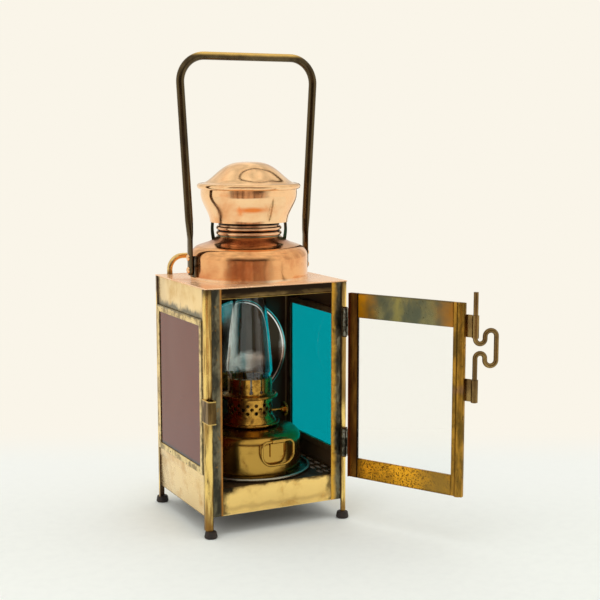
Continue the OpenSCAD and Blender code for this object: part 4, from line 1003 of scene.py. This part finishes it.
# %% Latch
BOLT = np.array([-55.15, -54.0, 0.0]) * MM
BOLT_R, SMALL_BEND, LOOP_END = np.array([1.75, 3.5, 4.1]) * MM
LOOP_HEADING = np.radians(225.0)
BARREL_LEN, BARREL_WALL, BARREL_FIT, TAB_LAP = np.array([16, 0.65, 0.06, 5]) * MM
barrel_low = np.array([104.3, 149.8]) * MM
barrel_in, barrel_out = BOLT_R + BARREL_FIT, BOLT_R + BARREL_FIT + BARREL_WALL
barrel_section = [[barrel_in, 0], [barrel_out, 0], [barrel_out, BARREL_LEN], [barrel_in, BARREL_LEN]]
barrels = [moved(lathe(barrel_section, turns=40), shift=BOLT + (0, 0, z)) for z in barrel_low]
tabs = [soft_box((BOLT[0] + barrel_in, FACE_OUT - SHEET, z), (TAB_LAP - DOOR_HALF, FACE_OUT, z + BARREL_LEN), EDGE)
        for z in barrel_low]
make_piece("rolled_barrels", on_door(barrels + tabs), latch_bronze, ["latch_barrels"], "door")

bolt_low, bolt_top = (corner[2] for corner in span("latch_bolt"))
upper_bend, finger_top, finger_low, lower_bend = np.array([149.2, 150.9, 134.1, 135.5]) * MM
loop_mid = 2 * SMALL_BEND + LOOP_END
loop_far = loop_mid + LOOP_END
bolt_line = np.concatenate([
    np.linspace((0, bolt_top), (0, upper_bend), 8)[:-1], arc((SMALL_BEND, upper_bend), SMALL_BEND, 180, 360, 18),
    arc((loop_mid, finger_top), LOOP_END, 180, 0, 18),
    np.linspace((loop_far, finger_top), (loop_far, finger_low), 5)[1:-1],
    arc((loop_mid, finger_low), LOOP_END, 0, -180, 18), arc((SMALL_BEND, lower_bend), SMALL_BEND, 0, 180, 18),
    np.linspace((0, lower_bend), (0, bolt_low), 8)[1:]])
heading = np.array([np.cos(LOOP_HEADING), np.sin(LOOP_HEADING), 0])
bolt_path = BOLT + bolt_line[:, :1] * heading + bolt_line[:, 1:] * (0, 0, 1)
bolt_rod = rod(bolt_path, (-heading[1], heading[0], 0), BOLT_R, around=28)
make_piece("bent_bolt", on_door([bolt_rod]), latch_bronze, ["latch_bolt"], "latch", crease_deg=50)
print("door: opening in mm", np.round([np.ptp(opening_x) / MM, np.ptp(opening_z) / MM], 1))

# %% [markdown]
# ## Oil lamp
# The lamp is a spun tank in a tray, with a burner, a glass chimney and a dish reflector behind it. All but the
# pierced burner parts are profiles turned about the lamp's axis, with arcs where the metal was rolled over.

# %% Tray and tank
def disc(radius, low):
    """Section of a round plate of sheet."""
    return [[0, low], [radius, low], [radius, low + SHEET], [0, low + SHEET]]


low, high = span("lamp_tray")
TRAY_RIM = 1.3 * MM
tray_r = high[0]
tray_ring = arc((tray_r - TRAY_RIM, low[2] + TRAY_RIM), TRAY_RIM, 0, 360, 17)[:-1]
make_piece("rolled_tray", [lathe(disc(tray_r - TRAY_RIM, low[2]), closed=False), lathe(tray_ring)],
           tray_brass, ["lamp_tray"])

low, high = span("fuel_tank")
TANK_ROUND, TANK_WALL, TANK_HOLE, TANK_EASE, TANK_SINK = np.array([7, 24, 16.7, 1, 0.05]) * MM
WALL_FROM, WALL_SHORT, TANK_ARC = 4 * MM, 1 * MM, 80
tank_r = high[0]
tank_shoulder = low[2] + TANK_WALL
tank_profile = np.concatenate([
    [[TANK_HOLE, low[2] + SHEET / 2]], arc((tank_r - TANK_EASE, low[2] + TANK_EASE), TANK_EASE, -90, 0, 6),
    np.linspace((tank_r, low[2] + WALL_FROM), (tank_r, tank_shoulder - WALL_SHORT), 5),
    arc((tank_r - TANK_ROUND, tank_shoulder), TANK_ROUND, 0, TANK_ARC, 18), [[TANK_HOLE, high[2] - TANK_SINK]]])
make_piece("spun_tank", [lathe(walled(tank_profile, SHEET)), lathe(disc(TANK_HOLE, low[2]), closed=False)],
           lamp_brass, ["fuel_tank"])

# %% Chimney
# The foot of the chimney stands inside the prongs; above a slight swell it tapers with the power 1.3.
low, high = span("chimney")
FOOT_R, SWELL_R, TOP_R, GLASS, FOOT_TOP, SWELL_Z = np.array([16.3, 17.6, 12, 1.4, 105.7, 110.6]) * MM
TAPER_POWER = 1.3
s = np.linspace(0, 1, 36)
chimney_taper = np.stack([TOP_R + (SWELL_R - TOP_R) * (1 - s ** TAPER_POWER), SWELL_Z + (high[2] - SWELL_Z) * s], -1)
chimney_swell = swelling((FOOT_R, FOOT_TOP), (SWELL_R, SWELL_Z), 10)
chimney_foot = np.linspace((FOOT_R, low[2]), (FOOT_R, FOOT_TOP), 4)[:-1]
chimney_profile = np.concatenate([chimney_foot, chimney_swell, chimney_taper[1:]])
make_piece("blown_chimney", [lathe(walled(chimney_profile, GLASS), turns=96)], clear_glass, ["chimney"])

# %% Pull ring
# The pull ring: a straight bar, tight upper corners and a round bow, in a plane turned a little on the tank.
RING_TURN_DEG, RING_WIRE, RING_HALF = 6.0, 0.95 * MM, 13.8 * MM
RING_AXIS = np.array([0, -41.2, 63.2]) * MM
bow_r, corner_r = 9.05 * MM, 4.525 * MM
ring_half = np.concatenate([
    arc((RING_HALF - corner_r, -corner_r), corner_r, 90, 0, 10), arc((RING_HALF - bow_r, -bow_r), bow_r, 0, -90, 16)])
ring_path = RING_AXIS + np.insert(mirrored(ring_half), 1, 0, axis=1)
ring_rod = rod(ring_path, (0, 1, 0), RING_WIRE, closed=True, around=18)
make_piece("pull_ring_wire", [moved(ring_rod, RING_TURN_DEG)], lamp_brass, ["tank_ring"], "pull_ring", crease_deg=50)

# %% Reflector
# The reflector is a shallow part of a sphere, with its edge turned over.
low, high = span("reflector")
dish_r, dish_x, dish_z = (high[0] - low[0]) / 2, (low[0] + high[0]) / 2, (low[2] + high[2]) / 2
DISH_DIP, DISH_SHORT = 8 * MM, 0.985
sphere_r = (dish_r ** 2 + DISH_DIP ** 2) / (2 * DISH_DIP)
dish_reach = np.degrees(np.arcsin(dish_r / sphere_r)) * DISH_SHORT
dish_front = arc((0, sphere_r), sphere_r, -90, dish_reach - 90, 24)
dish_back = arc((0, sphere_r), sphere_r + SHEET, -90, dish_reach - 90, 24)
dish = lathe(np.concatenate([dish_front, dish_back[::-1]]), closed=False)
make_piece("silvered_reflector", [laid(dish, [0, 2, 1], (1, -1, 1), (dish_x, high[1] - SHEET, dish_z))],
           mirror, ["reflector"])
print("lamp: tank radius", round(float(tank_r) / MM, 1), "mm, dish radius", round(float(dish_r) / MM, 1), "mm")

# %% [markdown]
# ## Solids that stay
# Pierced, toothed and folded small parts keep their solids and only get the right finish in their slots.

# %% Finishes of the solids that stay
KEPT_FINISH = (
    (chamber_shade_brass, "floor_plate", "reflector_bracket"), (solder, "post_hinge_leaves", "door_hinge_leaves"),
    (burner_brass, "burner_collar", "burner_basket", "gallery", "wick_tube", "wick_spindle", "wick_knob"),
    (red_glass, "red_glass"), (blue_glass, "blue_glass"), (clear_glass, "door_glass"), (strap_metal, "cap_straps"),
    (door_brown, "hinge_pins"), (lamp_brass, "ring_keeper"), (cotton, "wick"))
kept_nodes = {name: finish for finish, *names in KEPT_FINISH for name in names}
for name, finish in kept_nodes.items():
    materials = frame["nodes"][name].data.materials
    materials.clear()
    materials.append(finish)
unpainted = sorted(name for name, node_object in frame["nodes"].items()
                   if not node_object.hide_render and name not in kept_nodes)
print("kept solids:", len(kept_nodes), "without a finish:", unpainted)

# %% [markdown]
# ## Studio
# The lantern stands on a pale table in front of a cream wall. The table fades into the wall's colour behind
# the lantern and far out on every side, so no wall stands in the way when it is seen from behind. Polished
# metal shows its surroundings, so the world is cream at the sides and overhead, and a dark room in front.

# %% Room
view_flat = (CAMERA_TARGET - CAMERA_PLACE).xy.normalized().to_3d()
WALL_CREAM, ROOM_DARK = (250, 245, 233), (84, 64, 52)
SIDE_START, SIDE_END = -0.9, -0.58
TOP_START, TOP_END = 0.12, 0.6
DRAPE_STRETCH, DRAPE_DARK, DRAPE_BRIGHT, DRAPE_FROM, DRAPE_TO = (5, 5, 0.3), 0.66, 1.1, 0.35, 0.65

# Room: cream at the sides and overhead, dark behind the camera, with upright folds from stretched noise.
tree, given, out = new_group("studio_room", {"Direction": (0, 0, 1), "Folds": 1.0},
                             {"Room": "NodeSocketColor", "Dark": FLOAT, "Fold": FLOAT})
room_group = tree
height = node(tree, "ShaderNodeSeparateXYZ", {0: given["Direction"]}).outputs["Z"]
ahead = vector(tree, "DOT_PRODUCT", given["Direction"], tuple(view_flat))
lit = math(tree, "MAXIMUM", ramp(tree, ahead, SIDE_START, SIDE_END), ramp(tree, height, TOP_START, TOP_END))
drapes = noise(tree, vector(tree, "MULTIPLY", given["Direction"], DRAPE_STRETCH), given["Folds"], 2.0)
fold = ramp(tree, drapes, DRAPE_FROM, DRAPE_TO, kind="LINEAR")
shade = node(tree, "ShaderNodeVectorMath", {0: blended(tree, lit, ROOM_DARK, WALL_CREAM),
                                            "Scale": ramp(tree, fold, 0.0, 1.0, DRAPE_DARK, DRAPE_BRIGHT, "LINEAR")},
             operation="SCALE").outputs[0]
for name, value in (("Room", shade), ("Dark", math(tree, "SUBTRACT", 1.0, lit)), ("Fold", fold)):
    tree.links.new(value, out[name])
print("room group:", len(tree.nodes), "nodes")

# %% Floor
FLOOR_HALF, FLOOR_ROUGH, MOTTLE = 6.0, 0.7, 0.25
WALL_NEAR, WALL_FAR = 0.12, 0.26
GLOW_NEAR, GLOW_FAR, GLOW = -0.1, 0.12, 0.6
SHADE_NEAR, SHADE_FAR = 0.06, 0.13
EDGE_NEAR, EDGE_FAR = 0.7, 1.7
TABLE_END, ROOM_START = 0.6, 0.75
ROOM_LOW, ROOM_HIGH, LOW_FOLDS = (104, 74, 60), (214, 178, 152), 2.6
FLOOR_PALE, FLOOR_GREY, FLOOR_FAR = (241, 247, 248), (228, 234, 237), (247, 248, 242)


def even_light(tree, colour):
    """Light of a linear colour or of a socket's colour, which takes no shadow."""
    return node(tree, "ShaderNodeEmission", {"Color": colour, "Strength": 1.0}).outputs[0]


floor_mesh = bpy.data.meshes.new("table_top")
corners = np.array([(-1, -1, 0), (1, -1, 0), (1, 1, 0), (-1, 1, 0)]) * FLOOR_HALF
floor_mesh.from_pydata(corners.tolist(), [], [(0, 1, 2, 3)])
floor = bpy.data.objects.new("table_top", floor_mesh)
scene.collection.objects.link(floor)
floor_paint, tree, skin = new_material("table_paint")
floor_mesh.materials.append(floor_paint)
mottle = use_group(tree, tarnish_group, **patches(120, 0.35, 0.75))["Mask"]
paint = blended(tree, math(tree, "MULTIPLY", mottle, MOTTLE), FLOOR_PALE, FLOOR_GREY)
fill(tree, skin, {"Base Color": paint, "Roughness": FLOOR_ROUGH})

# Away from the lantern's shadow the table glows a little, and far out it takes the colour of the wall.
where = object_place(tree)
depth = vector(tree, "DOT_PRODUCT", where, tuple(view_flat))
distance = vector(tree, "LENGTH", where)
glow = math(tree, "MULTIPLY", ramp(tree, depth, GLOW_NEAR, GLOW_FAR, 0.0, GLOW),
            ramp(tree, distance, SHADE_NEAR, SHADE_FAR))
lit_table = mixed(tree, glow, skin.outputs[0], even_light(tree, tone(FLOOR_FAR)))
fade = math(tree, "MAXIMUM", ramp(tree, depth, WALL_NEAR, WALL_FAR), ramp(tree, distance, EDGE_NEAR, EDGE_FAR))
table = mixed(tree, fade, lit_table, even_light(tree, tone(WALL_CREAM)))

# In polished metal the table ends a short way in front of the lantern, and the dark room begins.
room = use_group(tree, room_group, Direction=vector(tree, "NORMALIZE", where), Folds=LOW_FOLDS)
in_metal = math(tree, "MULTIPLY", node(tree, "ShaderNodeLightPath").outputs["Is Glossy Ray"],
                ramp(tree, distance, TABLE_END, ROOM_START))
room_light = even_light(tree, blended(tree, room["Fold"], ROOM_LOW, ROOM_HIGH))
shown = mixed(tree, math(tree, "MULTIPLY", in_metal, room["Dark"]), table, room_light)
fill(tree, tree.nodes["Material Output"], {"Surface": shown})
print("floor:", 2 * FLOOR_HALF, "m wide")

# %% World and lights
world = bpy.data.worlds.new("studio")
scene.world = world
world.use_nodes = True
tree = world.node_tree
tree.nodes.clear()
room = use_group(tree, room_group, Direction=node(tree, "ShaderNodeTexCoord").outputs["Generated"])
seen = blended(tree, node(tree, "ShaderNodeLightPath").outputs["Is Camera Ray"], room["Room"], WALL_CREAM)
background = node(tree, "ShaderNodeBackground", {"Color": seen, "Strength": 1.0})
node(tree, "ShaderNodeOutputWorld", {"Surface": background.outputs[0]})


def soft_light(name, place, aim, size, power, colour=(1, 1, 1)):
    """Square area light that looks at a point."""
    data = bpy.data.lights.new(name, "AREA")
    data.size, data.energy, data.color = size, power, colour
    light = bpy.data.objects.new(name, data)
    light.location = place
    light.rotation_euler = (Vector(aim) - Vector(place)).to_track_quat("-Z", "Y").to_euler()
    light.visible_glossy = False
    scene.collection.objects.link(light)


BODY_MIDDLE = (0.0, 0.0, 0.15)
soft_light("overhead_softbox", (-0.1, -0.2, 1.3), BODY_MIDDLE, 1.0, 3.6)
soft_light("window_side", (-1.2, -0.7, 0.7), BODY_MIDDLE, 0.9, 3.0)
soft_light("fill_side", (1.1, -0.9, 0.5), BODY_MIDDLE, 0.7, 1.2)
scene.view_settings.view_transform = "Standard"
print("studio: 3 lights")
